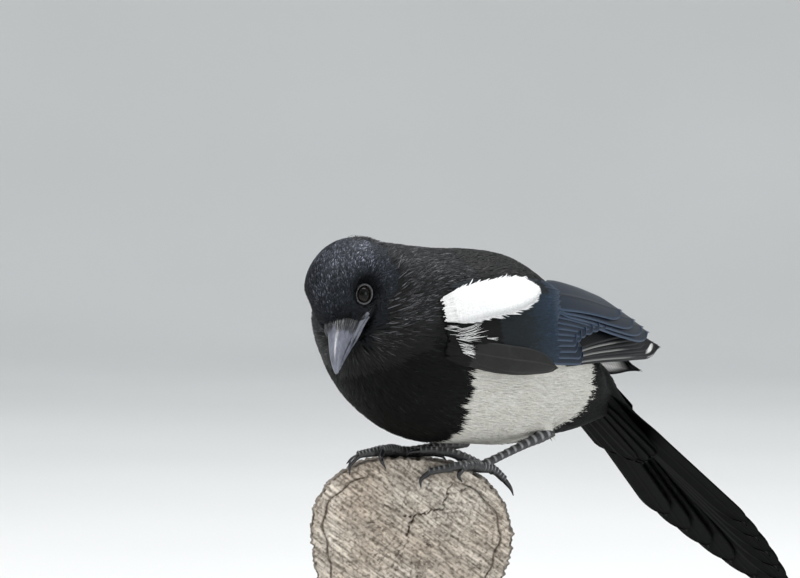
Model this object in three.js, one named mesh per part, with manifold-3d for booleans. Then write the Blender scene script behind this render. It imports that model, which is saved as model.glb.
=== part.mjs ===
// Eurasian magpie, life size, gripping the end of a cut log on a plain display stand.
// Millimetres, +Z up. The origin is the centre of the underside of the stand's base.
// The view from -Y is the front: +X is to its right.

import * as THREE from "three";
import { mergeVertices } from "three/addons/utils/BufferGeometryUtils.js";
import Module from "manifold-3d";

const wasm = await Module();
wasm.setup();

// Gap between neighbouring pieces
const GAP = 0.3;

// Stand
const BASE = { width: 170, depth: 130, height: 9, corner: 16, bevel: 1.5 };
const ROD = { radius: 4, spacing: 52, sides: 20, intoBase: 5, intoLog: 12 };

// Log: a short cut length lying along Y, its sawn front face toward -Y
const LOG_TOP = 134;
const LOG = { width: 105, height: 86, length: 88, squareness: 2.4, wobble: 1.2, bevel: 2, steps: 40 };
const LOG_FRONT = -44;
const LOG_ROLL = -4;
const LOG_TILT = 4;

// Bird frame: x forward, y to the bird's left, z up, origin in the middle of the torso
const BIRD_HEADING = 228;
const BIRD_PLACE = new THREE.Vector3(42.9, 0, LOG_TOP + 52.8);

// Body profile from the rump to the face: along, height of the axis, half width, half height
const BODY_STATIONS = [
  { along: -84, height: -32, width: 8, depth: 8 },
  { along: -70, height: -26, width: 18, depth: 17 },
  { along: -50, height: -17, width: 29, depth: 29 },
  { along: -25, height: -6, width: 36.5, depth: 42 },
  { along: 0, height: 0, width: 40.5, depth: 50 },
  { along: 25, height: 3, width: 41.5, depth: 51 },
  { along: 50, height: 4.5, width: 42.5, depth: 50.5 },
  { along: 72, height: 8, width: 42.5, depth: 49 },
  { along: 92, height: 14.5, width: 39, depth: 44.5 },
  { along: 108, height: 21.5, width: 32, depth: 37 },
  { along: 121, height: 27, width: 21, depth: 26 },
  { along: 129, height: 31, width: 8, depth: 10 },
];
const BODY_GRID = { sides: 26, rings: 21 };
// Seams: a point of the plane and the way its normal points, toward the front piece
const NECK_SEAM = { point: [78, 0, 8], normal: [0.94, 0, 0.34] };
const TAIL_SEAM = { point: [-68, 0, -26], normal: [0.94, 0, 0.34] };

// Head frame: x toward the bill, y left, z up, origin between the eyes
const HEAD_PLACE = new THREE.Vector3(124.4, 3.8, 32.7);
const HEAD_TURN = { yaw: 28.6, pitch: 42.5, roll: 20.6 };
const SKULL = { centre: [-11.5, 0, 1], radii: [26, 21, 19.5] };
const FACE = { centre: [3, 0, -3.5], radii: [17.5, 14.5, 13] };
const EYE = { place: [0, 10.4, 0.5], radius: 5.6, opening: 4.5 };
// The lids as one ring: half its width, half its thickness, and how much wider than high its hole is
const LID = { half: 1.2, thick: 1.1, stretch: 1.06, squeeze: 0.94, sunk: 0.2 };
// Shallow hollow of the cheek round each eye
const ORBIT = { centre: [1.5, 22.5, 0.3], radii: [8.5, 8.3, 8] };
// Upper bill: along, height of the ridge, height of the cutting edge, half width
const UPPER_BILL = [
  { along: 8, ridge: 1.5, edge: -10.6, width: 8.4 },
  { along: 16, ridge: 1, edge: -10.2, width: 6.9 },
  { along: 24, ridge: -0.6, edge: -9.5, width: 5.3 },
  { along: 33, ridge: -3.2, edge: -9.3, width: 3.7 },
  { along: 40, ridge: -6.6, edge: -10.2, width: 2.1 },
  { along: 43.8, ridge: -10, edge: -11.6, width: 0.8 },
];
// Lower bill: along, height of the cutting edge, height of the keel, half width
const LOWER_BILL = [
  { along: 6, ridge: -10.9, edge: -16.4, width: 8 },
  { along: 16, ridge: -10.5, edge: -16, width: 6.2 },
  { along: 26, ridge: -9.7, edge: -14.6, width: 4.3 },
  { along: 35, ridge: -9.8, edge: -12.9, width: 2.6 },
  { along: 41, ridge: -11.2, edge: -12.2, width: 0.9 },
];
// How much of the section stands straight at its edge, and how square its arch is
const BILL_ARCH = { edge: 0.12, power: 0.8 };
const BRISTLES = {
  count: 7,
  front: 9,
  length: 15,
  width: 2.6,
  spread: 0.75,
  lift: 0.5,
  arch: 0.8,
  taper: 0.75,
};

// Shell that the folded wings lie on: along, height of its axis, half width, half height
const WING_SHELL = [
  { along: -125, height: -12, width: 13, depth: 15 },
  { along: -100, height: -12, width: 20, depth: 23 },
  { along: -75, height: -11, width: 28, depth: 31 },
  { along: -50, height: -8, width: 33.5, depth: 38 },
  { along: -25, height: -4, width: 38, depth: 45.5 },
  { along: 0, height: 0, width: 41.2, depth: 51 },
  { along: 25, height: 3, width: 42.3, depth: 52 },
  { along: 50, height: 4.5, width: 43.1, depth: 51.5 },
  { along: 72, height: 8, width: 43.1, depth: 50 },
  { along: 92, height: 14, width: 41, depth: 46 },
];
const VANE_THICKNESS = 0.55;
// A vane's outline: width at its root, where it is full, where its tip starts to round, how blunt it ends
const VANE = { root: 0.45, full: 0.3, shoulder: 0.72, blunt: 0.3, rounding: 0.05, camber: 0.5 };
// The fleshy arm under the coverts, its places along the body and its turns round it in degrees
const WING_ARM = {
  front: 84,
  back: 4,
  low: { front: 6, back: -12 },
  high: { front: 34, back: 46 },
  thin: 0.6,
  thick: 5.2,
  inside: -3,
};
// Feathers of the wing. Roots and tips are places along the body, and turns are degrees up from level.
// Lifts are the heights of a vane's inner face over the shell, and layers the steps between vanes.
const PRIMARIES = {
  root: 18,
  tips: [-121, -124, -118, -108, -97, -86],
  rootTurn: { low: -6, step: 0.8 },
  tipTurn: { low: 28, step: 2.4 },
  width: 12,
  lift: -0.9,
  rise: 1.3,
  layer: 0.8,
};
const SECONDARIES = {
  count: 6,
  root: 16,
  tips: { low: -56, high: -84 },
  rootTurn: { low: 0, high: 34 },
  tipTurn: { low: 8, high: 33.5 },
  width: 15,
  lift: 4.3,
  rise: 2.3,
  layer: 0.2,
  tilt: 1.5,
};
const TERTIALS = {
  root: 18,
  tips: [-97, -84, -66],
  rootTurn: { low: 32, step: 2 },
  tipTurn: { low: 36.5, step: 5 },
  width: 20,
  lift: { root: 4.4, tip: 9 },
  layer: { root: 0.4, tip: 0.85 },
  tilt: 1.1,
};
// Coverts lie on the arm: how deep their roots are sunk, and the share of the length where they are clear
const COVERT_ROOT = { sunk: 1.2, clear: 0.45 };
const GREATER_COVERTS = {
  count: 6,
  root: 32,
  tip: -8,
  slant: -1,
  low: -3,
  high: 37,
  width: 11.5,
  above: 2.2,
  tilt: 1,
};
const MEDIAN_COVERTS = {
  ...GREATER_COVERTS,
  count: 3,
  root: 58,
  tip: 27,
  slant: 2,
  low: 5,
  high: 17,
  width: 10,
};
const PRIMARY_COVERTS = { root: 62, tips: [10, 20], low: -8, step: 4, width: 12, above: 2.6, layer: 0.85 };
const SCAPULARS = {
  rows: 3,
  perRow: 4,
  tips: { front: 56, back: 9, hollow: 2 },
  low: 20,
  high: 42,
  width: 12.6,
  length: 30,
  above: 3.4,
  tilt: 1.5,
};
// Behind the start the wing bends inward and down, by these amounts at the end
const WING_BEND = { start: 10, end: -120 };
const WING_POSE = {
  left: { side: 1, droop: 0, inward: 0 },
  right: { side: -1, droop: 13, inward: 13 },
};

// Tail frame: x back along the tail, y to the bird's left, z out of its upper side
const TAIL_PLACE = new THREE.Vector3(-69, 0, -16.5);
const TAIL_DROOP = 37;
const TAIL_YAW = 0;
const RECTRICES = {
  pairs: 6,
  longest: 236,
  step: 18.5,
  width: 27,
  narrowing: 1.3,
  fan: { first: 0.5, step: 1.6 },
  across: { first: 1.5, step: 1.1 },
  top: 3.4,
  layer: 0.85,
};
// Coverts over and under the root of the tail, fanned apart from the middle one
const TAIL_COVERTS = {
  count: 4,
  upper: { length: 60, height: 5.4, bend: -0.6 },
  under: { length: 74, height: -8.6, bend: 0.4 },
  width: 20,
  across: 5.75,
  fan: 4.25,
  shorter: 7.5,
};
const RUMP = { centre: [6, 0, -1], radii: [26, 15, 13] };

// Legs in the frame of the stand
const HEELS = { left: [69, -8, 9.5], right: [24.5, -2.5, 4.5] };
const PADS = { left: [33, -35, -5.6], right: [-8, -34, 1.8] };
const TARSUS = { thick: 3.1, thin: 2.1 };
const THIGH = { length: 34, top: 13, knee: 4.6, locks: 7, lockLength: 13, lockWidth: 6.5 };
// Each toe: its knuckles from the pad to the root of the claw, and the tip of the claw
const TOES = {
  left: [
    { knuckles: [[24, -45.5, -4], [15, -47.2, -5.5], [6.5, -47.4, -7.2]], claw: [2.6, -46, -15.6] },
    { knuckles: [[28, -43, -4], [23.5, -47, -5.5]], claw: [23.8, -46.6, -12.5] },
    { knuckles: [[22, -38, 0.6], [11, -38.5, 3], [2, -39.5, 3.2]], claw: [-5, -41, 0.6] },
    { knuckles: [[40, -29.5, -7.5], [46, -25, -13]], claw: [51, -22, -22] },
  ],
  right: [
    { knuckles: [[-17, -38.5, 3.4], [-24, -41.5, 2.4], [-30, -44.6, 1.4]], claw: [-34.2, -46.4, -9] },
    { knuckles: [[-13, -38.5, 4], [-17.4, -43.6, 3.8]], claw: [-15.6, -46.2, -5.6] },
    { knuckles: [[-17, -32, 1.8], [-27, -30.5, 0.6]], claw: [-36, -30, -4.6] },
    { knuckles: [[2, -27.5, 1.2], [9, -21.5, 0.4]], claw: [16, -15.5, -4] },
  ],
};
// Toe and claw radii, how deep the claw is rooted and how far it arches forward
const TOE = { thick: 2.5, thin: 1.8, claw: 1.5, tip: 0.35, overlap: 1.2, arch: 2.2 };

function vector(values) {
  return new THREE.Vector3(...values);
}

function radians(degrees) {
  return THREE.MathUtils.degToRad(degrees);
}

// A value read off a table of stations along the body, smooth through each of them
function readTable(table, along, name) {
  const last = table.length - 2;
  let i = table.findIndex((row) => row.along > along) - 1;
  i = i < 0 ? (along < table[0].along ? 0 : last) : i;
  const at = (k) => table[Math.min(Math.max(k, 0), table.length - 1)];
  const slope = (k) => (at(k + 1)[name] - at(k - 1)[name]) / (at(k + 1).along - at(k - 1).along);
  const span = at(i + 1).along - at(i).along;
  const u = THREE.MathUtils.clamp((along - at(i).along) / span, 0, 1);
  const low = at(i)[name] * (1 + 2 * u) * (1 - u) ** 2 + slope(i) * span * u * (1 - u) ** 2;
  const high = at(i + 1)[name] * (3 - 2 * u) * u ** 2 + slope(i + 1) * span * (u - 1) * u ** 2;
  return low + high;
}

// Twice the sum of the signed volumes tells which way a closed surface faces
function facesInward(position, index) {
  const corner = [new THREE.Vector3(), new THREE.Vector3(), new THREE.Vector3()];
  let volume = 0;
  for (let i = 0; i < index.length; i += 3) {
    corner.forEach((c, k) => c.fromArray(position, 3 * index[i + k]));
    volume += corner[0].dot(corner[1].cross(corner[2]));
  }
  return volume < 0;
}

// A closed geometry as a solid that can be joined and cut
function solid(geometry) {
  const bare = geometry.clone();
  bare.deleteAttribute("normal");
  bare.deleteAttribute("uv");
  const merged = mergeVertices(bare, 1e-4);
  const vertProperties = Float32Array.from(merged.attributes.position.array);
  const triVerts = Uint32Array.from(merged.index.array);
  if (facesInward(vertProperties, triVerts)) triVerts.reverse();
  return new wasm.Manifold(new wasm.Mesh({ numProp: 3, vertProperties, triVerts }));
}

function union(solids) {
  return solids.reduce((sum, next) => sum.add(next));
}

// The largest closed surface of a solid: loose scraps and sealed hollows are left out
function largest(whole) {
  const pieces = whole.decompose();
  return pieces.reduce((best, piece) => (piece.volume() > best.volume() ? piece : best));
}

// A solid's triangles as a named mesh with a material of its own
function meshOf(name, piece, look) {
  const data = largest(piece).getMesh();
  const geometry = new THREE.BufferGeometry();
  geometry.setAttribute("position", new THREE.BufferAttribute(data.vertProperties, 3));
  geometry.setIndex(new THREE.BufferAttribute(data.triVerts, 1));
  geometry.computeVertexNormals();
  const mesh = new THREE.Mesh(geometry, new THREE.MeshStandardMaterial(look));
  mesh.name = name;
  return mesh;
}

// A round body from a sphere's grid: place(t, angle) is the surface point, with poles at t = 0 and 1
function loft(sides, rings, place) {
  const geometry = new THREE.SphereGeometry(1, sides, rings);
  const position = geometry.attributes.position;
  for (let i = 0; i < position.count; i++) {
    const t = Math.floor(i / (sides + 1)) / rings;
    const angle = ((i % (sides + 1)) % sides) * ((2 * Math.PI) / sides);
    const p = place(t, angle);
    position.setXYZ(i, p.x, p.y, p.z);
  }
  return solid(geometry);
}

// Edges of a grid that only one triangle uses, each in the direction that its triangle runs
function openEdges(index) {
  const edges = new Map();
  for (let i = 0; i < index.length; i += 3) {
    for (let k = 0; k < 3; k++) {
      const from = index[i + k];
      const to = index[i + ((k + 1) % 3)];
      if (!edges.delete(`${to},${from}`)) edges.set(`${from},${to}`, [from, to]);
    }
  }
  return [...edges.values()];
}

// A thin closed sheet from a plane's grid: place(u, v, face), u from root to tip, v from -1 to 1
// across, face 0 on the inner side and 1 on the outer side, with both faces split alike
function sheet(lengthSteps, widthSteps, place) {
  const plane = new THREE.PlaneGeometry(1, 1, widthSteps, lengthSteps);
  const uv = plane.attributes.uv;
  const points = [];
  for (const face of [0, 1]) {
    for (let i = 0; i < uv.count; i++) {
      points.push(...place(1 - uv.getY(i), 2 * uv.getX(i) - 1, face).toArray());
    }
  }
  const outer = Array.from(plane.index.array);
  const index = outer.map((i) => i + uv.count);
  for (let i = 0; i < outer.length; i += 3) index.push(outer[i + 2], outer[i + 1], outer[i]);
  for (const [from, to] of openEdges(outer)) {
    index.push(to + uv.count, from + uv.count, from, to + uv.count, from, to);
  }
  const geometry = new THREE.BufferGeometry();
  geometry.setAttribute("position", new THREE.Float32BufferAttribute(points, 3));
  geometry.setIndex(index);
  return solid(geometry);
}

// A round limb through points, its radius read evenly along them, closed to a point at both ends
function limb(points, radii, sides, rings) {
  const path = new THREE.CatmullRomCurve3(points.map(vector), false, "centripetal");
  const side = new THREE.Vector3();
  const up = new THREE.Vector3();
  return loft(sides, rings, (t, angle) => {
    const centre = path.getPoint(t);
    const tangent = path.getTangent(THREE.MathUtils.clamp(t, 0.001, 0.999));
    side.crossVectors(tangent, new THREE.Vector3(0.31, 0.42, 0.85)).normalize();
    up.crossVectors(side, tangent);
    const place = t * (radii.length - 1);
    const i = Math.min(Math.floor(place), radii.length - 2);
    const radius = t === 0 || t === 1 ? 0 : THREE.MathUtils.lerp(radii[i], radii[i + 1], place - i);
    return centre.addScaledVector(side, radius * Math.cos(angle)).addScaledVector(up, radius * Math.sin(angle));
  });
}

function ellipsoid(centre, radii, sides, rings) {
  const geometry = new THREE.SphereGeometry(1, sides, rings);
  geometry.scale(...radii);
  geometry.translate(...centre);
  return geometry;
}

const LOOK = {
  black: { color: 0x101114, roughness: 0.7, metalness: 0 },
  white: { color: 0xe9e6dd, roughness: 0.85, metalness: 0 },
  bill: { color: 0x23272e, roughness: 0.35, metalness: 0 },
  eye: { color: 0x0b0807, roughness: 0.06, metalness: 0 },
  blue: { color: 0x16233c, roughness: 0.45, metalness: 0 },
  leg: { color: 0x2a2b2d, roughness: 0.6, metalness: 0 },
  wood: { color: 0xb09a83, roughness: 0.9, metalness: 0 },
  base: { color: 0x2b2623, roughness: 0.5, metalness: 0 },
  steel: { color: 0xa7a9ab, roughness: 0.3, metalness: 1 },
};

const headMatrix = new THREE.Matrix4().compose(
  HEAD_PLACE,
  new THREE.Quaternion().setFromEuler(
    new THREE.Euler(radians(HEAD_TURN.roll), radians(HEAD_TURN.pitch), radians(HEAD_TURN.yaw), "ZYX"),
  ),
  new THREE.Vector3(1, 1, 1),
);

// The feathered body as one smooth form, thicker by the given amount
function bodyForm(extra = 0) {
  const first = BODY_STATIONS[0].along - extra;
  const last = BODY_STATIONS[BODY_STATIONS.length - 1].along + extra;
  return loft(BODY_GRID.sides, BODY_GRID.rings, (t, angle) => {
    const along = (first + last) / 2 - ((last - first) / 2) * Math.cos(Math.PI * t);
    const pole = t === 0 || t === 1 ? 0 : 1;
    const width = pole * (readTable(BODY_STATIONS, along, "width") + extra);
    const depth = pole * (readTable(BODY_STATIONS, along, "depth") + extra);
    const height = readTable(BODY_STATIONS, along, "height");
    return new THREE.Vector3(along, width * Math.cos(angle), height + depth * Math.sin(angle));
  });
}

// A plane of the body as a cut: the part in front of it and the part behind it, a gap apart
function split(whole, seam) {
  const normal = vector(seam.normal).normalize();
  const offset = normal.dot(vector(seam.point));
  const front = whole.trimByPlane(normal.toArray(), offset + GAP / 2);
  const back = whole.trimByPlane(normal.clone().negate().toArray(), GAP / 2 - offset);
  return [front, back];
}

function inHead(geometry) {
  return solid(geometry.applyMatrix4(headMatrix));
}

// One half of the bill: an arched section between the ridge and the edge, sharp at its tip
function billForm(table, extra = 0, flatSide = -1) {
  const first = table[0].along - extra;
  const last = table[table.length - 1].along + extra;
  const geometry = new THREE.SphereGeometry(1, 12, 12);
  const position = geometry.attributes.position;
  for (let i = 0; i < position.count; i++) {
    const t = Math.floor(i / 13) / 12;
    const angle = ((i % 13) % 12) * (Math.PI / 6);
    const along = THREE.MathUtils.lerp(first, last, t);
    const size = t === 0 || t === 1 ? 0 : 1;
    const ridge = readTable(table, along, "ridge") + extra;
    const edge = readTable(table, along, "edge") - extra;
    const flat = flatSide < 0 ? edge : ridge;
    const crown = flatSide < 0 ? ridge : edge;
    const s = Math.sin(angle) * -flatSide;
    const middle = (ridge + edge) / 2;
    const rise = THREE.MathUtils.lerp(BILL_ARCH.edge, 1, Math.abs(s) ** BILL_ARCH.power);
    const arched = flat + (crown - flat) * rise;
    const height = s * -flatSide * (flatSide < 0 ? 1 : -1) > 0.01 ? arched : flat;
    const width = (readTable(table, along, "width") + extra) * Math.cos(angle);
    position.setXYZ(i, along, size * width, size ? height : middle);
  }
  return inHead(geometry);
}

// A ring of lid round one eye, its hole a little lower than wide
function lidRing(side) {
  const profile = new THREE.Shape();
  profile.absellipse(EYE.opening + LID.half, 0, LID.half, LID.thick, 0, 2 * Math.PI);
  const geometry = new THREE.LatheGeometry(profile.getPoints(2), 14);
  geometry.scale(LID.stretch, 1, LID.squeeze);
  const depth = Math.sqrt(EYE.radius ** 2 - EYE.opening ** 2) - LID.sunk;
  geometry.translate(EYE.place[0], EYE.place[1] + depth, EYE.place[2]);
  geometry.scale(1, side, 1);
  return inHead(geometry);
}

function eyeForm(side, extra = 0) {
  const [x, y, z] = EYE.place;
  const radius = EYE.radius + extra;
  return inHead(ellipsoid([x, side * y, z], [radius, radius, radius], 14, 8));
}

// Stiff nasal bristles: flat tapered locks from the forehead over the root of the upper bill
function bristles() {
  const locks = [];
  for (let i = 0; i < BRISTLES.count; i++) {
    const swing = ((i / (BRISTLES.count - 1)) * 2 - 1) * BRISTLES.spread * (Math.PI / 2);
    const layer = (i % 2) * (VANE_THICKNESS + GAP);
    const lock = sheet(3, 1, (u, v, face) => {
      const along = BRISTLES.front + BRISTLES.length * u * (0.75 + 0.25 * Math.cos(swing));
      const lift = BRISTLES.lift + layer + BRISTLES.arch * Math.sin(Math.PI * u) + VANE_THICKNESS * face;
      const half = (BRISTLES.width / 2) * (1 - BRISTLES.taper * u);
      const ridge = readTable(UPPER_BILL, along, "ridge");
      const middle = readTable(UPPER_BILL, along, "edge") + 2;
      const width = readTable(UPPER_BILL, along, "width") + lift;
      const angle = swing + (v * half) / width;
      const height = middle + (ridge - middle + lift) * Math.cos(angle);
      return new THREE.Vector3(along, width * Math.sin(angle), height).applyMatrix4(headMatrix);
    });
    locks.push(lock);
  }
  return locks;
}

// Skull and face as one form, hollowed round the eyes, thicker by the given amount
function headForm(extra = 0) {
  const grown = (radii) => radii.map((r) => r + extra);
  const skull = inHead(ellipsoid(SKULL.centre, grown(SKULL.radii), 18, 11));
  const face = inHead(ellipsoid(FACE.centre, grown(FACE.radii), 12, 8));
  const orbits = [1, -1].map((side) => {
    const [x, y, z] = ORBIT.centre;
    return inHead(ellipsoid([x, side * y, z], ORBIT.radii.map((r) => r - extra), 10, 5));
  });
  return skull.add(face).subtract(union(orbits));
}

// Torso and neck from one form, parted at a seam, with room for the head sunk into the neck
function bodyParts(faceRoom) {
  const [front, rear] = split(bodyForm(), NECK_SEAM);
  const [torso] = split(rear, TAIL_SEAM);
  return { neck: front.subtract(headForm(GAP)).subtract(faceRoom), torso };
}

function headWithLids(faceRoom) {
  const head = union([headForm(), lidRing(1), lidRing(-1), ...bristles()]);
  return head.subtract(faceRoom);
}

// Half width of a vane along its length: a narrow root, nearly even sides and a rounded tip
function vaneWidth(u) {
  const root = THREE.MathUtils.lerp(VANE.root, 1, Math.min(1, u / VANE.full));
  const past = Math.max(0, u - VANE.shoulder) / (1 - VANE.shoulder);
  return root * Math.max(VANE.blunt, Math.sqrt(1 - past ** 2));
}

// Where the arm's pad lies at a place along it: its low and high turns, and how full it is there
function armEdges(along) {
  const u = THREE.MathUtils.clamp((WING_ARM.front - along) / (WING_ARM.front - WING_ARM.back), 0, 1);
  const share = THREE.MathUtils.smoothstep(u, 0, 0.6);
  const low = THREE.MathUtils.lerp(WING_ARM.low.front, WING_ARM.low.back, share);
  const high = THREE.MathUtils.lerp(WING_ARM.high.front, WING_ARM.high.back, share);
  return { low, high, fullness: THREE.MathUtils.smoothstep(u, -0.2, 0.75) };
}

// Height of the arm's outer face over the shell
function armTop(along, turn) {
  const { low, high, fullness } = armEdges(along);
  const v = THREE.MathUtils.clamp((2 * (turn - low)) / (high - low) - 1, -1, 1);
  return WING_ARM.thin + (WING_ARM.thick - WING_ARM.thin) * fullness * Math.sqrt(1 - v ** 8);
}

// The lift of a flight feather, rising evenly from its root to its tip
function rising(from, to) {
  return (u) => THREE.MathUtils.lerp(from, to, u);
}

// The lift of a covert: sunk in the arm at its root, then above the arm's outer face
function onArm(above) {
  const { sunk, clear } = COVERT_ROOT;
  return (u, along, turn) => {
    const out = THREE.MathUtils.smoothstep(u, 0, clear);
    return armTop(along, turn) - sunk + (sunk + above) * out;
  };
}

// A folded wing over its shell. Its rear part is bent inward and down by its pose, and a right
// wing is the mirror image of a left one.
class FoldedWing {
  constructor(pose) {
    this.pose = pose;
  }

  // A point of the wing: turn in degrees up from level, lift outward from the shell
  point(along, turn, lift) {
    const width = readTable(WING_SHELL, along, "width") + lift;
    const depth = readTable(WING_SHELL, along, "depth") + lift;
    const height = readTable(WING_SHELL, along, "height");
    const angle = radians(turn);
    const bend = Math.max(0, (WING_BEND.start - along) / (WING_BEND.start - WING_BEND.end)) ** 2;
    const across = width * Math.cos(angle) - this.pose.inward * bend;
    const up = height + depth * Math.sin(angle) - this.pose.droop * bend;
    return new THREE.Vector3(along, this.pose.side * across, up);
  }

  // A vane from its root to its tip: lift(u, along, turn) is the height of its inner face, and
  // its upper edge tucks inward by the tilt
  vane({ root, tip, lift, width, tilt = 0, steps = 4, columns = 1 }) {
    const camber = columns > 1 ? VANE.camber : 0;
    return sheet(steps, columns, (u, v, face) => {
      const along = THREE.MathUtils.lerp(root.along, tip.along, u - VANE.rounding * Math.abs(v) * u ** 4);
      const turn = THREE.MathUtils.lerp(root.turn, tip.turn, u);
      const height = lift(u, along, turn) - tilt * v + camber * (1 - Math.abs(v)) + VANE_THICKNESS * face;
      const girth = readTable(WING_SHELL, along, "width") + height;
      const half = THREE.MathUtils.radToDeg(((width / 2) * vaneWidth(u)) / girth);
      return this.point(along, turn + v * half, height);
    });
  }

  // The arm and hand under the coverts, a pad that thins toward its front and its edges
  arm() {
    return sheet(6, 5, (u, v, face) => {
      const along = THREE.MathUtils.lerp(WING_ARM.front, WING_ARM.back, u);
      const { low, high } = armEdges(along);
      const turn = THREE.MathUtils.lerp(low, high, (v + 1) / 2);
      return this.point(along, turn, face ? armTop(along, turn) : WING_ARM.inside);
    });
  }

  primaries() {
    const { root, tips, rootTurn, tipTurn, width, lift, rise, layer } = PRIMARIES;
    return tips.map((along, i) => this.vane({
      root: { along: root, turn: rootTurn.low + rootTurn.step * i },
      tip: { along, turn: tipTurn.low + tipTurn.step * i },
      lift: rising(lift + layer * i, lift + rise + layer * i),
      width,
      steps: 5,
    }));
  }

  secondaries() {
    const { count, root, tips, rootTurn, tipTurn, width, lift, rise, layer, tilt } = SECONDARIES;
    return Array.from({ length: count }, (_, i) => {
      const between = (ends) => THREE.MathUtils.lerp(ends.low, ends.high, i / (count - 1));
      return this.vane({
        root: { along: root, turn: between(rootTurn) },
        tip: { along: between(tips), turn: between(tipTurn) },
        lift: rising(lift, lift + rise + layer * i),
        width,
        tilt,
      });
    });
  }

  tertials() {
    const { root, tips, rootTurn, tipTurn, width, lift, layer, tilt } = TERTIALS;
    return tips.map((along, i) => this.vane({
      root: { along: root, turn: rootTurn.low + rootTurn.step * i },
      tip: { along, turn: tipTurn.low + tipTurn.step * i },
      lift: rising(lift.root + layer.root * i, lift.tip + layer.tip * i),
      width,
      tilt,
      columns: 2,
    }));
  }

  // A row of like coverts from the lowest to the highest, their tips slanting along the wing
  covertRow({ count, root, tip, slant, low, high, width, above, tilt }) {
    return Array.from({ length: count }, (_, i) => {
      const turn = THREE.MathUtils.lerp(low, high, i / (count - 1));
      return this.vane({
        root: { along: root, turn },
        tip: { along: tip + slant * i, turn: turn + 1 },
        lift: onArm(above),
        width,
        tilt,
        steps: 3,
      });
    });
  }

  // The long leaf-like coverts of the hand along the wing's lower edge
  primaryCoverts() {
    const { root, tips, low, step, width, above, layer } = PRIMARY_COVERTS;
    return tips.map((along, i) => this.vane({
      root: { along: root, turn: low + 6 + 2 * i },
      tip: { along, turn: low + step * i },
      lift: onArm(above + layer * i),
      width,
      steps: 3,
    }));
  }

  // The white shoulder feathers: short rounded vanes in rows, each row over the one behind it
  scapulars() {
    const { rows, perRow, tips, low, high, width, length, above, tilt } = SCAPULARS;
    const vanes = [];
    for (let row = 0; row < rows; row++) {
      for (let i = 0; i < perRow; i++) {
        const turn = THREE.MathUtils.lerp(low, high, i / (perRow - 1));
        const fromMiddle = Math.abs(2 * i + 1 - perRow);
        const tip = THREE.MathUtils.lerp(tips.back, tips.front, row / (rows - 1)) + tips.hollow * fromMiddle;
        vanes.push(this.vane({
          root: { along: tip + length, turn },
          tip: { along: tip, turn },
          lift: onArm(above),
          width,
          tilt,
          steps: 3,
        }));
      }
    }
    return vanes;
  }

  solid() {
    const flight = [...this.primaries(), ...this.secondaries(), ...this.tertials()];
    const coverts = [...this.covertRow(GREATER_COVERTS), ...this.covertRow(MEDIAN_COVERTS)];
    return union([this.arm(), ...flight, ...coverts, ...this.primaryCoverts(), ...this.scapulars()]);
  }
}

const tailMatrix = new THREE.Matrix4().compose(
  TAIL_PLACE,
  new THREE.Quaternion().setFromEuler(new THREE.Euler(0, radians(TAIL_DROOP), radians(180 + TAIL_YAW), "ZYX")),
  new THREE.Vector3(1, 1, 1),
);

function tailVane({ length, width, fan, across, height, bend = 0, steps = 5, columns = 1 }) {
  return sheet(steps, columns, (u, v, face) => {
    const x = length * (u - VANE.rounding * Math.abs(v) * u ** 4);
    const y = across + x * Math.sin(radians(fan)) + v * (width / 2) * vaneWidth(u);
    const camber = columns > 1 ? VANE.camber * (1 - Math.abs(v)) : 0;
    const z = height + bend * u ** 2 + camber + VANE_THICKNESS * face;
    return new THREE.Vector3(x, y, z).applyMatrix4(tailMatrix);
  });
}

// Twelve graduated tail feathers, the middle pair on top and the shortest pair underneath
function rectrices() {
  const vanes = [];
  for (let pair = 0; pair < RECTRICES.pairs; pair++) {
    for (const side of [1, -1]) {
      const layer = 2 * pair + (side < 0 ? 1 : 0);
      vanes.push(tailVane({
        length: RECTRICES.longest - RECTRICES.step * pair,
        width: RECTRICES.width - RECTRICES.narrowing * pair,
        fan: side * (RECTRICES.fan.first + RECTRICES.fan.step * pair),
        across: side * (RECTRICES.across.first + RECTRICES.across.step * pair),
        height: RECTRICES.top - RECTRICES.layer * layer,
        columns: pair ? 1 : 2,
      }));
    }
  }
  return vanes;
}

// Shorter vanes over and under the root of the tail
function tailCoverts() {
  const { count, upper, under, width, across, fan, shorter } = TAIL_COVERTS;
  const vanes = [];
  for (let i = 0; i < count; i++) {
    const place = i - (count - 1) / 2;
    for (const [row, outward] of [[upper, 1], [under, -1]]) {
      vanes.push(tailVane({
        length: row.length - shorter * Math.abs(place),
        width,
        fan: fan * place,
        across: across * place,
        height: row.height + outward * RECTRICES.layer * i,
        bend: row.bend,
        steps: 3,
      }));
    }
  }
  return vanes;
}

function tailForm() {
  const rump = solid(ellipsoid(RUMP.centre, RUMP.radii, 10, 6).applyMatrix4(tailMatrix));
  const [, behind] = split(union([rump, ...rectrices(), ...tailCoverts()]), TAIL_SEAM);
  const [, end] = split(bodyForm(), TAIL_SEAM);
  return behind.add(end);
}

function toBird(point) {
  const moved = vector(point).add(new THREE.Vector3(0, 0, LOG_TOP)).sub(BIRD_PLACE);
  return moved.applyAxisAngle(new THREE.Vector3(0, 0, 1), -radians(BIRD_HEADING));
}

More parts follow.
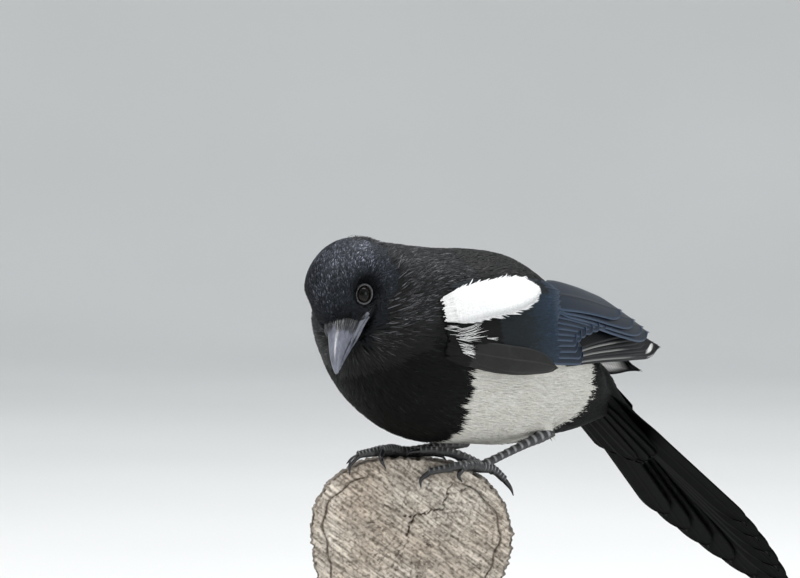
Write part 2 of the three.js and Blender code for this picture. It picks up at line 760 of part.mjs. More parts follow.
// Drumstick with its black feather locks: what shows of it under the belly
function thighForm(heel) {
  const knee = toBird(heel);
  const hip = knee.clone().add(new THREE.Vector3(8, -4 * Math.sign(knee.y), THIGH.length));
  const core = limb([hip.toArray(), knee.toArray()], [THIGH.top, THIGH.top, THIGH.knee + 2, THIGH.knee], 12, 8);
  const locks = [];
  for (let i = 0; i < THIGH.locks; i++) {
    const angle = (2 * Math.PI * i) / THIGH.locks;
    const axis = knee.clone().sub(hip).normalize();
    const side = new THREE.Vector3(1, 0, 0).cross(axis).normalize();
    const out = side.clone().applyAxisAngle(axis, angle);
    const around = out.clone().cross(axis);
    locks.push(sheet(3, 1, (u, v, face) => {
      const back = THIGH.lockLength * (1 - u) - 1.5;
      const radius = THIGH.knee + 0.6 + back * 0.36 + (VANE_THICKNESS + 0.3) * face;
      const half = (THIGH.lockWidth / 2) * (1 - 0.7 * u);
      const point = knee.clone().addScaledVector(axis, -back);
      return point.addScaledVector(out, radius).addScaledVector(around, v * half);
    }));
  }
  return union([core, ...locks]);
}

// Bare lower leg from the heel to the ball of the foot, thicker by the given amount
function shankForm(side, extra = 0) {
  const heel = toBird(HEELS[side]);
  const pad = toBird(PADS[side]);
  const reach = pad.clone().sub(heel).setLength(extra);
  const ends = [heel.clone().sub(reach), heel.clone().lerp(pad, 0.5), pad.clone().add(reach)];
  const { thick, thin } = TARSUS;
  const radii = [thick, thick * 1.1, thin * 1.1, thin, thin, thin * 1.15, thick * 0.9].map((r) => r + extra);
  return limb(ends.map((p) => p.toArray()), radii, 10, 10);
}

function toeForm(pad, { knuckles, claw }) {
  const points = [pad, ...knuckles].map((p) => toBird(p).toArray());
  const toe = limb(points, [TOE.thick, TOE.thick, TOE.thin * 1.2, TOE.thin, TOE.thin], 6, 5);
  const root = vector(knuckles[knuckles.length - 1]);
  const before = vector(knuckles[knuckles.length - 2]);
  const forward = root.clone().sub(before).normalize();
  const tip = vector(claw);
  const arch = root.clone().lerp(tip, 0.45).addScaledVector(forward, TOE.arch);
  const clawPath = [root.clone().addScaledVector(forward, -TOE.overlap), arch, tip];
  const clawPoints = clawPath.map((p) => toBird(p.toArray()).toArray());
  return toe.add(limb(clawPoints, [TOE.claw, TOE.claw, TOE.claw * 0.7, TOE.tip], 5, 4));
}

function footForm(side) {
  const pad = toBird(PADS[side]);
  const radius = TOE.thick * 1.25;
  const ball = solid(ellipsoid(pad.toArray(), [radius, radius, radius], 8, 5));
  return union([ball, ...TOES[side].map((toe) => toeForm(PADS[side], toe))]);
}

// Round bar upright at x, from one height to another
function rodForm(x, bottom, top, extra = 0) {
  const geometry = new THREE.CylinderGeometry(ROD.radius + extra, ROD.radius + extra, top - bottom, ROD.sides);
  geometry.rotateX(Math.PI / 2);
  geometry.translate(x, 0, (top + bottom) / 2);
  return solid(geometry);
}

// A log's outline: a flattened round with a little unevenness on its lower side
function logOutline(extra) {
  const points = [];
  for (let i = 0; i < LOG.steps; i++) {
    const angle = (2 * Math.PI * i) / LOG.steps;
    const c = Math.cos(angle);
    const s = Math.sin(angle);
    const round = (Math.abs(c) ** LOG.squareness + Math.abs(s) ** LOG.squareness) ** (-1 / LOG.squareness);
    const uneven = LOG.wobble * (Math.sin(3 * angle + 1) + 0.6 * Math.sin(7 * angle)) * Math.max(0, 0.6 - s);
    const halfWidth = LOG.width / 2 - LOG.bevel + extra + uneven;
    const halfHeight = LOG.height / 2 - LOG.bevel + extra + uneven;
    points.push(new THREE.Vector2(halfWidth * round * c, halfHeight * round * s));
  }
  return new THREE.Shape(points);
}

function logForm(extra = 0) {
  const geometry = new THREE.ExtrudeGeometry(logOutline(extra), {
    depth: LOG.length - 2 * LOG.bevel + 2 * extra,
    bevelThickness: LOG.bevel,
    bevelSize: LOG.bevel,
    bevelSegments: 1,
    steps: 1,
  });
  geometry.translate(0, 0, LOG.bevel - LOG.length - extra);
  geometry.rotateX(Math.PI / 2);
  geometry.rotateY(radians(-LOG_ROLL));
  geometry.translate(0, 0, -LOG.height / 2);
  geometry.rotateX(-radians(LOG_TILT));
  geometry.translate(0, LOG_FRONT, LOG_TOP);
  return solid(geometry);
}

function baseForm() {
  const halfWidth = BASE.width / 2 - BASE.bevel;
  const halfDepth = BASE.depth / 2 - BASE.bevel;
  const corner = BASE.corner - BASE.bevel;
  const outline = new THREE.Shape();
  outline.absarc(halfWidth - corner, halfDepth - corner, corner, 0, Math.PI / 2);
  outline.absarc(corner - halfWidth, halfDepth - corner, corner, Math.PI / 2, Math.PI);
  outline.absarc(corner - halfWidth, corner - halfDepth, corner, Math.PI, 1.5 * Math.PI);
  outline.absarc(halfWidth - corner, corner - halfDepth, corner, 1.5 * Math.PI, 2 * Math.PI);
  const geometry = new THREE.ExtrudeGeometry(outline, {
    depth: BASE.height - 2 * BASE.bevel,
    bevelThickness: BASE.bevel,
    bevelSize: BASE.bevel,
    bevelSegments: 1,
    curveSegments: 3,
  });
  geometry.translate(0, 0, BASE.bevel);
  return solid(geometry);
}

const rodBottom = BASE.height - ROD.intoBase;
const rodTop = LOG_TOP - LOG.height + ROD.intoLog;

function standAndLog() {
  const places = [-ROD.spacing / 2, ROD.spacing / 2];
  const holes = places.map((x) => rodForm(x, rodBottom - GAP, rodTop + GAP, GAP));
  const rods = places.map((x, i) => meshOf(`stand_rod_${i + 1}`, rodForm(x, rodBottom, rodTop), LOOK.steel));
  const log = meshOf("perch_log", logForm().subtract(union(holes)), LOOK.wood);
  const base = meshOf("stand_base", baseForm().subtract(union(holes)), LOOK.base);
  return [base, ...rods, log];
}

const worldToBird = new THREE.Matrix4()
  .makeRotationZ(-radians(BIRD_HEADING))
  .multiply(new THREE.Matrix4().makeTranslation(...BIRD_PLACE.clone().negate().toArray()));

function birdPieces() {
  const log = logForm(GAP).transform(worldToBird.toArray());
  const faceRoom = union([
    billForm(UPPER_BILL, GAP), billForm(LOWER_BILL, GAP, 1), eyeForm(1, GAP), eyeForm(-1, GAP),
  ]);
  const { neck, torso } = bodyParts(faceRoom);
  const body = bodyForm(GAP);
  const pieces = [
    meshOf("torso", torso, LOOK.white),
    meshOf("neck", neck, LOOK.black),
    meshOf("head", headWithLids(faceRoom), LOOK.black),
    meshOf("bill_upper", billForm(UPPER_BILL), LOOK.bill),
    meshOf("bill_lower", billForm(LOWER_BILL, 0, 1), LOOK.bill),
    meshOf("eye_left", eyeForm(1), LOOK.eye),
    meshOf("eye_right", eyeForm(-1), LOOK.eye),
    meshOf("tail", tailForm(), LOOK.black),
  ];
  for (const side of ["left", "right"]) {
    const wing = new FoldedWing(WING_POSE[side]).solid().subtract(body);
    pieces.push(meshOf(`wing_${side}`, wing, LOOK.blue));
    const shankRoom = shankForm(side, GAP);
    const thigh = thighForm(HEELS[side]).subtract(body).subtract(shankRoom);
    const foot = footForm(side).subtract(log).subtract(shankRoom);
    pieces.push(meshOf(`thigh_${side}`, thigh, LOOK.black));
    pieces.push(meshOf(`shank_${side}`, shankForm(side).subtract(body), LOOK.leg));
    pieces.push(meshOf(`foot_${side}`, foot, LOOK.leg));
  }
  return pieces;
}

const bird = new THREE.Group();
bird.position.copy(BIRD_PLACE);
bird.rotation.z = radians(BIRD_HEADING);
bird.add(...birdPieces());

const magpie = new THREE.Group();
magpie.add(...standAndLog(), bird);

export default magpie;
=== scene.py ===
"""Looks of a life-size eurasian magpie that grips the end of a cut log on a display stand."""

import logging
import math
from dataclasses import dataclass
from enum import Enum
from functools import partial
from typing import Callable, Optional, Sequence

import bpy
import numpy as np
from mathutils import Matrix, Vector


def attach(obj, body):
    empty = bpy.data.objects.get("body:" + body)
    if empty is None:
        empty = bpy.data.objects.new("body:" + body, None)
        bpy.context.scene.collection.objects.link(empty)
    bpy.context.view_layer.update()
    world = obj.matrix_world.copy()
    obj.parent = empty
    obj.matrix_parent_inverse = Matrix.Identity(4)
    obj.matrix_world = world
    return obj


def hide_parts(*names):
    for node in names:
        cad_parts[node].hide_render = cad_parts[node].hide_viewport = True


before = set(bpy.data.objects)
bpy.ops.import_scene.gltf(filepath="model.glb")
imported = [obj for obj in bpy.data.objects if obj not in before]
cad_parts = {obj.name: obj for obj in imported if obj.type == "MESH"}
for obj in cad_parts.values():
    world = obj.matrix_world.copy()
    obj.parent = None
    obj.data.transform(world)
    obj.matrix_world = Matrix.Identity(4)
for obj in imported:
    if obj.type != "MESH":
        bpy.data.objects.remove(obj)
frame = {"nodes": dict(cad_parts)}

LOG = logging.getLogger("magpie")
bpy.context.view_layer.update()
MILLIMETRE = 0.001
SIDES = (("left", 1), ("right", -1))

# Types that recur: arrays, and functions that give a value at each of many places
Array = np.ndarray
Named = dict[str, Array]
Colour = tuple[float, float, float]
Field = Callable[[Array], Array]
Surface = Callable[[Array, Array], Array]
Lift = Callable[[Array, Array, Array], Array]
Draw = np.random.Generator
Piece = bpy.types.Object
Material = bpy.types.Material
Socket = bpy.types.NodeSocket

# Height of the log's top over the floor in millimetres, as in the part's source
LOG_TOP = 134.0


def unit(vectors: Array) -> Array:
    """Vectors scaled to length one."""
    return vectors / np.maximum(np.linalg.norm(vectors, axis=-1, keepdims=True), 1e-9)


def mix(low: Array, high: Array, share: Array) -> Array:
    """The value a share of the way from low to high."""
    return low + (high - low) * share


def smooth(low: float, high: float, value: Array) -> Array:
    """Rises smoothly from 0 at low to 1 at high."""
    t = np.clip((value - low) / (high - low), 0.0, 1.0)
    return t * t * (3.0 - 2.0 * t)


def rotation(axis: str, degrees: float) -> Array:
    """Turn matrix about one axis.

    Args:
        axis: x, y or z.
        degrees: the turn, counterclockwise.

    Returns:
        A 3 by 3 matrix for column vectors.
    """
    c, s = math.cos(math.radians(degrees)), math.sin(math.radians(degrees))
    return {
        "x": np.array([[1, 0, 0], [0, c, -s], [0, s, c]]),
        "y": np.array([[c, 0, s], [0, 1, 0], [-s, 0, c]]),
        "z": np.array([[c, -s, 0], [s, c, 0], [0, 0, 1]]),
    }[axis]


def ripple(points: Array, wave: float, seed: int) -> Array:
    """Soft noise from crossed waves.

    Args:
        points: places in millimetres.
        wave: rough length of one wave in millimetres.
        seed: picks the directions and phases.

    Returns:
        One value from -1 to 1 for each point.
    """
    rng = np.random.default_rng(seed)
    total = np.zeros(len(points))
    for _ in range(6):
        direction = unit(rng.normal(size=3)) * (math.tau / wave) * rng.uniform(0.6, 1.6)
        total += np.sin(points @ direction + rng.uniform(0, math.tau))
    return total / 6 ** 0.5 / 1.5


@dataclass(frozen=True)
class Frame:
    """A right-handed frame: its axes as columns and its origin, in the frame that it hangs in."""

    axes: Array
    origin: Array

    def out(self, points: Array) -> Array:
        """Points of this frame, in the frame that it hangs in."""
        return points @ self.axes.T + self.origin

    def into(self, points: Array) -> Array:
        """Points of the outer frame, in this frame."""
        return (points - self.origin) @ self.axes

    def turned(self, vectors: Array) -> Array:
        """Directions of this frame, in the frame that it hangs in."""
        return vectors @ self.axes.T


# The bird's frame in the stand's, and those of its head, tail and trunk in the bird's
BIRD = Frame(rotation("z", 228.0), np.array([42.9, 0.0, LOG_TOP + 52.8]))
HEAD = Frame(
    rotation("z", 28.6) @ rotation("y", 42.5) @ rotation("x", 20.6), np.array([124.4, 3.8, 32.7])
)
TAIL = Frame(rotation("z", 180.0) @ rotation("y", 37.0), np.array([-69.0, 0.0, -16.5]))
TRUNK = Frame(np.eye(3), np.zeros(3))


def above_log(points: Sequence[Sequence[float]]) -> Array:
    """Points given over the log's top, in the frame of the stand."""
    return np.array(points, float) + [0.0, 0.0, LOG_TOP]


def through_stations(places: Array, values: Array, slopes: Array, at: Array) -> Array:
    """Values between stations, smooth through each of them.

    Args:
        places: the stations, ascending.
        values: one row for each station.
        slopes: how steeply the values change there.
        at: where they are read.

    Returns:
        One row for each place read.
    """
    i = np.clip(np.searchsorted(places, at, side="right") - 1, 0, len(places) - 2)
    span = (places[i + 1] - places[i])[:, None]
    u = (at - places[i])[:, None] / span
    low = values[i] * (1 + 2 * u) * (1 - u) ** 2 + slopes[i] * span * u * (1 - u) ** 2
    high = values[i + 1] * (3 - 2 * u) * u ** 2 + slopes[i + 1] * span * (u - 1) * u ** 2
    return low + high


class Profile:
    """Sizes given at stations along the body, smooth through each of them."""

    STEP = 0.5

    def __init__(self, rows: Sequence[Sequence[float]]) -> None:
        """Reads the stations.

        Args:
            rows: one row for each station, its place first and ascending.
        """
        table = np.array(rows, float)
        places, values = table[:, 0], table[:, 1:]
        k = np.arange(len(places))
        before, after = np.maximum(k - 1, 0), np.minimum(k + 1, k[-1])
        slopes = (values[after] - values[before]) / (places[after] - places[before])[:, None]
        self.places = np.arange(places[0], places[-1] + self.STEP / 2, self.STEP)
        self.values = through_stations(places, values, slopes, self.places)

    def at(self, along: Array) -> list[Array]:
        """The sizes at places along the body, one array for each column."""
        return [np.interp(along, self.places, column) for column in self.values.T]


# Body: place along, height of the axis, half width, half height
BODY = Profile([
    (-84, -32, 8, 8), (-70, -26, 18, 17), (-50, -17, 29, 29), (-25, -6, 36.5, 42),
    (0, 0, 40.5, 50), (25, 3, 41.5, 51), (50, 4.5, 42.5, 50.5), (72, 8, 42.5, 49),
    (92, 14.5, 38.5, 44.5), (108, 21.5, 30, 37), (121, 27, 18.5, 25.5), (129, 31, 6.5, 9.5),
])
# Shell that the folded wings lie on, in the same columns
SHELL = Profile([
    (-125, -12, 13, 15), (-100, -12, 20, 23), (-75, -11, 28, 31), (-50, -8, 33.5, 38),
    (-25, -4, 38, 45.5), (0, 0, 41.2, 51), (25, 3, 42.3, 52), (50, 4.5, 43.1, 51.5),
    (72, 8, 43.1, 50), (92, 14, 41, 46),
])
# Bill: place along, height of the ridge, height of the cutting edge, half width
UPPER_BILL = Profile([
    (8, 1.5, -9.4, 11.5), (16, 1, -9.6, 8.5), (24, -0.6, -9.5, 5.7), (33, -3.2, -9.3, 3.7),
    (40, -6.6, -10.2, 2.1), (43.8, -10, -11.6, 0.8),
])
# Lower bill: place along, height of the cutting edge, height of the keel, half width
LOWER_BILL = Profile([
    (6, -10.9, -16.4, 8), (16, -10.5, -16, 6.2), (26, -9.7, -14.6, 4.3), (35, -9.8, -12.9, 2.6),
    (41, -11.2, -12.2, 0.9),
])


def turn_up(points: Array) -> Array:
    """Degrees that places on either side of the body lie up from the level of its axis."""
    height, width, depth = BODY.at(points[:, 0])
    return np.degrees(np.arctan2((points[:, 2] - height) / depth, np.abs(points[:, 1]) / width))


def around(count: int) -> Array:
    """Angles spread evenly round a circle."""
    return np.linspace(0, math.tau, count, endpoint=False)


@dataclass(frozen=True)
class Round:
    """An ellipsoid with its centre and half sizes in a frame of the bird."""

    frame: Frame
    centre: tuple[float, float, float]
    radii: tuple[float, float, float]

    def distance(self, points: Array) -> Array:
        """Rough distance outside the surface, below zero inside.

        Args:
            points: places in the bird's frame.

        Returns:
            One distance for each place.
        """
        local = self.frame.into(points) - np.array(self.centre)
        radii = np.array(self.radii)
        near = np.linalg.norm(local / radii, axis=-1)
        steep = np.linalg.norm(local / radii ** 2, axis=-1)
        return near * (near - 1) / np.maximum(steep, 1e-6)


@dataclass(frozen=True)
class Eye:
    """Sizes of an eye in the head's frame."""

    place: tuple[float, float, float] = (1.25, 10.6, -1.4)
    look: tuple[float, float, float] = (0.45, 0.84, 0.30)
    radius: float = 5.6
    opening: float = 4.2
    clearing: float = 5.5

    def frame(self, side: int) -> Frame:
        """The eye's frame in the head's: x forward in the plane of the lids, y outward.

        Args:
            side: 1 for the bird's left, -1 for its right.

        Returns:
            The frame of that eye.
        """
        x, y, z = self.look
        out = unit(np.array([x, side * y, z]))
        ahead = unit(np.array([1.0, 0.0, 0.0]) - out * out[0])
        return Frame(np.stack([ahead, out, np.cross(ahead, out)], axis=1), self.centre(side))

    def off_axis(self, points: Array) -> Array:
        """Distance of places in the head's frame from the axis of the eye on their side.

        Args:
            points: places in the head's frame.

        Returns:
            One distance for each place.
        """
        found = np.full(len(points), 1e3)
        for _, side in SIDES:
            local = self.frame(side).into(points)
            here = points[:, 1] * side > 3
            found = np.where(here, np.hypot(local[:, 0], local[:, 2]), found)
        return found

    def centre(self, side: int) -> Array:
        """The middle of one eyeball, side 1 for left and -1 for right."""
        x, y, z = self.place
        return np.array([x, side * y, z])


EYE = Eye()


def blended(distances: Sequence[Array], reach: Array) -> Array:
    """Distance to several forms joined with soft hollows.

    Args:
        distances: distance to each form.
        reach: width of the hollows in millimetres.

    Returns:
        Distance to the joined form.
    """
    total = distances[0]
    for other in distances[1:]:
        share = np.clip(0.5 + 0.5 * (other - total) / reach, 0.0, 1.0)
        total = mix(other, total, share) - reach * share * (1 - share)
    return total


@dataclass
class BodyForm:
    """The bird's body under its coat as one rounded form, in the bird's frame."""

    # Half the reach over which the form's slope is measured
    STEP = 0.25

    skull: Round = Round(HEAD, (-9.4, 0, -1.2), (26, 21, 19.5))
    face: Round = Round(HEAD, (3, 0, -3.5), (17.5, 14.5, 13))
    rump: Round = Round(TAIL, (6, 0, -1), (26, 15, 13))
    nape: float = 11.0
    room: Round = Round(HEAD, (16, 0, 3), (22, 27, 17))
    socket: tuple[float, float, float] = (13.0, 12.0, 9.8)
    socket_place: tuple[float, float, float] = (6.8, 23.6, 0.8)
    head_coat: float = 0.9
    body_coat: float = 2.4
    wing_pad: float = 3.4
    heel_radius: float = 3.4
    hip_radius: float = 15.4

    def pad(self, points: Array) -> Array:
        """How far the flesh of the folded arm swells the body's side.

        Args:
            points: places in the bird's frame.

        Returns:
            One height for each place.
        """
        turn = turn_up(points)
        over_side = smooth(-16, -2, turn) * (1 - smooth(40, 66, turn))
        along_side = smooth(-22, 14, points[:, 0]) * (1 - smooth(70, 94, points[:, 0]))
        return self.wing_pad * over_side * along_side

    def trunk(self, points: Array) -> Array:
        """Distance to the torso and neck.

        Args:
            points: places in the bird's frame.

        Returns:
            One distance for each place.
        """
        height, width, depth = BODY.at(points[:, 0])
        swell = self.pad(points)
        width, depth = width + swell, depth + swell
        y, z = points[:, 1], points[:, 2] - height
        near = np.hypot(y / width, z / depth)
        steep = np.hypot(y / width ** 2, z / depth ** 2)
        ring = near * (near - 1) / np.maximum(steep, 1e-6)
        ends = np.maximum(points[:, 0] - BODY.places[-1], BODY.places[0] - points[:, 0])
        return np.maximum(ring, ends)

    def thighs(self, points: Array) -> list[Array]:
        """Distance to the feathered drumsticks, as far as they show under the belly.

        Args:
            points: places in the bird's frame.

        Returns:
            The distances to each of them.
        """
        found = []
        for leg in LEGS:
            heel, axis = leg.thigh()
            share = np.clip((points - heel) @ axis / (axis @ axis), 0, 1)
            gap = np.linalg.norm(points - heel - share[:, None] * axis, axis=1)
            found.append(gap - mix(self.heel_radius, self.hip_radius, share))
        return found

    def sockets(self, points: Array) -> Array:
        """Distance to the shallow hollows round both eyes."""
        x, y, z = self.socket_place
        return np.minimum(*(Round(HEAD, (x, s * y, z), self.socket).distance(points) for _, s in SIDES))

    def coat(self, points: Array) -> Array:
        """Depth of the coat over the skin."""
        away = np.linalg.norm(HEAD.into(points) - [2, 0, -2], axis=1)
        return mix(self.head_coat, self.body_coat, smooth(20, 46, away))

    def distance(self, points: Array) -> Array:
        """Distance over the skin, below zero inside it.

        Args:
            points: places in the bird's frame.

        Returns:
            One distance for each place.
        """
        head = blended([self.skull.distance(points), self.face.distance(points)], 4.0)
        trunk = -blended([-self.trunk(points), self.room.distance(points)], 3.0)
        body = blended([trunk, self.rump.distance(points), *self.thighs(points)], 6.0)
        behind = smooth(6, -16, HEAD.into(points)[:, 0])
        whole = blended([head, body], 2.5 + (self.nape - 2.5) * behind)
        hollow = self.sockets(points)
        share = np.clip(0.5 - 0.5 * (whole + hollow) / 2.0, 0, 1)
        whole = mix(whole, -hollow, share) + 2.0 * share * (1 - share)
        return whole + self.coat(points)

    def normal(self, points: Array) -> Array:
        """Direction straight out of the form."""
        slope = [self.distance(points + d) - self.distance(points - d) for d in np.eye(3) * self.STEP]
        return np.stack(slope, axis=1) / (2 * self.STEP)

    def drop(self, points: Array, level: Array = 0.0, steps: int = 3) -> tuple[Array, Array]:
        """Moves points onto the surface at a level.

        Args:
            points: places near the surface.
            level: distance over the skin.
            steps: how often the move is repeated.

        Returns:
            The moved points and the outward directions there.
        """
        moved = points.copy()
        for _ in range(steps):
            slope = self.normal(moved)
            steep = np.maximum((slope ** 2).sum(1), 0.05)
            off = np.clip(self.distance(moved) - level, -4, 4)
            moved -= slope * (off / steep)[:, None]
        return moved, unit(self.normal(moved))


@dataclass(frozen=True)
class Leg:
    """Places of one leg over the log's top, in the frame of the stand."""

    side: str
    heel: tuple[float, float, float]
    pad: tuple[float, float, float]
    toes: tuple[tuple[tuple[float, float, float], ...], ...]
    claws: tuple[tuple[float, float, float], ...]

    def thigh(self) -> tuple[Array, Array]:
        """The heel, and the way from it to the hip, in the bird's frame."""
        heel = BIRD.into(above_log([self.heel]))[0]
        return heel, np.array([12, -5 * np.sign(heel[1]), 30])


LEGS = (
    Leg(
        "left", (69, -8, 9.5), (33, -35, -5.6),
        (
            ((24, -45.5, -4), (15, -47.2, -5.5), (6.5, -47.4, -7.2)),
            ((28, -43, -4), (23.5, -47, -5.5)),
            ((22, -38, 0.6), (11, -38.5, 3), (2, -39.5, 3.2)),
            ((40, -29.5, -7.5), (46, -25, -13)),
        ),
        ((2.6, -46, -15.6), (23.8, -46.6, -12.5), (-5, -41, 0.6), (51, -22, -22)),
    ),
    Leg(
        "right", (24.5, -2.5, 4.5), (-8, -34, 1.8),
        (
            ((-17, -38.5, 3.4), (-24, -41.5, 2.4), (-30, -44.6, 1.4)),
            ((-13, -38.5, 4), (-17.4, -43.6, 3.8)),
            ((-17, -32, 1.8), (-27, -30.5, 0.6)),
            ((2, -27.5, 1.2), (9, -21.5, 0.4)),
        ),
        ((-34.2, -46.4, -9), (-15.6, -46.2, -5.6), (-36, -30, -4.6), (16, -15.5, -4)),
    ),
)
FORM = BodyForm()


def mesh_piece(
    name: str,
    points: Array,
    faces: Array,
    maps: Optional[Named] = None,
    values: Optional[Named] = None,
    home: Frame = BIRD,
) -> Piece:
    """Makes one object from arrays.

    Args:
        name: the piece's name.
        points: places in millimetres, in the home frame.
        faces: triangles as rows of three point numbers.
        maps: UV maps by name, two numbers for each point.
        values: numbers for each point, by attribute name.
        home: frame of the points, hung in the frame of the stand.

    Returns:
        The new object, at the origin with its place in its mesh.
    """
    mesh = bpy.data.meshes.new(name)
    world = (home.out(points) * MILLIMETRE).astype(np.float32)
    mesh.vertices.add(len(world))
    mesh.vertices.foreach_set("co", world.ravel())
    corners = np.ascontiguousarray(faces, np.int32).ravel()
    mesh.loops.add(len(corners))
    mesh.loops.foreach_set("vertex_index", corners)
    mesh.polygons.add(len(faces))
    mesh.polygons.foreach_set("loop_start", np.arange(0, len(corners), 3, dtype=np.int32))
    mesh.update(calc_edges=True)
    for key, uv in (maps or {}).items():
        layer = mesh.uv_layers.new(name=key)
        layer.data.foreach_set("uv", uv[corners].astype(np.float32).ravel())
    for key, value in (values or {}).items():
        attribute = mesh.attributes.new(key, "FLOAT", "POINT")
        attribute.data.foreach_set("value", value.astype(np.float32).ravel())
    mesh.shade_smooth()
    mesh.validate()
    piece = bpy.data.objects.new(name, mesh)
    bpy.context.scene.collection.objects.link(piece)
    return piece


def finish_piece(
    piece: Piece,
    material: Material,
    replaced: Sequence[str] = (),
) -> None:
    """Gives a piece its material and its place on the body, and hides the CAD nodes that it stands for.

    Args:
        piece: the finished object.
        material: its finish.
        replaced: CAD nodes that it stands for.
    """
    piece.data.materials.clear()
    piece.data.materials.append(material)
    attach(piece, "root")
    if replaced:
        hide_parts(*replaced)
    LOG.info("%s: %d faces", piece.name, len(piece.data.polygons))


def grid_faces(rows: int, columns: int, closed: bool = False) -> Array:
    """Triangles of a grid of points in rows, joined round its columns where it is closed.

    Args:
        rows: number of rows.
        columns: points in a row.
        closed: whether the rows are rings.

    Returns:
        Rows of three point numbers.
    """
    r = np.arange(rows - 1)[:, None]
    c = np.arange(columns if closed else columns - 1)[None, :]
    a = r * columns + c
    b = r * columns + (c + 1) % columns
    quads = np.stack([a, b, b + columns, a + columns], axis=-1).reshape(-1, 4)
    return np.concatenate([quads[:, [0, 1, 2]], quads[:, [0, 2, 3]]])


def outward(points: Array, faces: Array) -> Array:
    """Faces of a closed body, turned round where they face inward."""
    a, b, c = (points[faces[:, k]] - points.mean(0) for k in range(3))
    return faces if (a * np.cross(b, c)).sum() > 0 else faces[:, ::-1]


def capped_tube(rings: Array) -> tuple[Array, Array]:
    """A closed tube from rings of points, each end drawn to its middle.

    Args:
        rings: array of ring, place round the ring and coordinate.

    Returns:
        Points and triangles.
    """
    count, sides, _ = rings.shape
    points = np.concatenate([rings.reshape(-1, 3), rings[0].mean(0)[None], rings[-1].mean(0)[None]])
    faces = grid_faces(count, sides, closed=True)
    i = np.arange(sides)
    j = (i + 1) % sides
    start = np.stack([np.full(sides, count * sides), j, i], axis=1)
    last = (count - 1) * sides
    end = np.stack([np.full(sides, count * sides + 1), last + i, last + j], axis=1)
    return points, outward(points, np.concatenate([faces, start, end]))


def closed_sheet(outer: Array, inner: Array) -> tuple[Array, Array]:
    """A thin closed body between two grids of points.

    Args:
        outer: array of row, column and coordinate for the outer face.
        inner: the same for the inner face.

    Returns:
        Points and triangles, the outer face's points first.
    """
    rows, columns, _ = outer.shape
    count = rows * columns
    front = grid_faces(rows, columns)
    back = front[:, ::-1] + count
    top = np.arange(columns)
    left = np.arange(rows) * columns
    walls = []
    for rim in (top, left[::-1], (top + count - columns)[::-1], left + columns - 1):
        a, b = rim[:-1], rim[1:]
        walls.append(np.stack([b, a, a + count], axis=1))
        walls.append(np.stack([b, a + count, b + count], axis=1))
    points = np.concatenate([outer.reshape(-1, 3), inner.reshape(-1, 3)])
    return points, outward(points, np.concatenate([front, back, *walls]))


class Heap:
    """Many small meshes gathered into one."""

    def __init__(self) -> None:
        """Starts empty."""
        self.points: list[Array] = []
        self.faces: list[Array] = []
        self.maps: dict[str, list[Array]] = {}
        self.values: dict[str, list[Array]] = {}
        self.count = 0

    def add(
        self, points: Array, faces: Array, maps: Optional[Named] = None, values: Optional[Named] = None,
    ) -> None:
        """Adds one mesh with its maps and values.

        Args:
            points: its points.
            faces: its triangles.
            maps: its UV maps.
            values: its numbers.
        """
        self.points.append(points)
        self.faces.append(faces + self.count)
        self.count += len(points)
        for store, given in ((self.maps, maps or {}), (self.values, values or {})):
            for key, value in given.items():
                store.setdefault(key, []).append(value)

    def piece(self, name: str, home: Frame = BIRD) -> Piece:
        """The gathered meshes as one object.

        Args:
            name: the piece's name.
            home: frame of its points.

        Returns:
            The new object.
        """
        joined = [
            {key: np.concatenate(value) for key, value in store.items()}
            for store in (self.maps, self.values)
        ]
        return mesh_piece(
            name, np.concatenate(self.points), np.concatenate(self.faces), *joined, home=home
        )


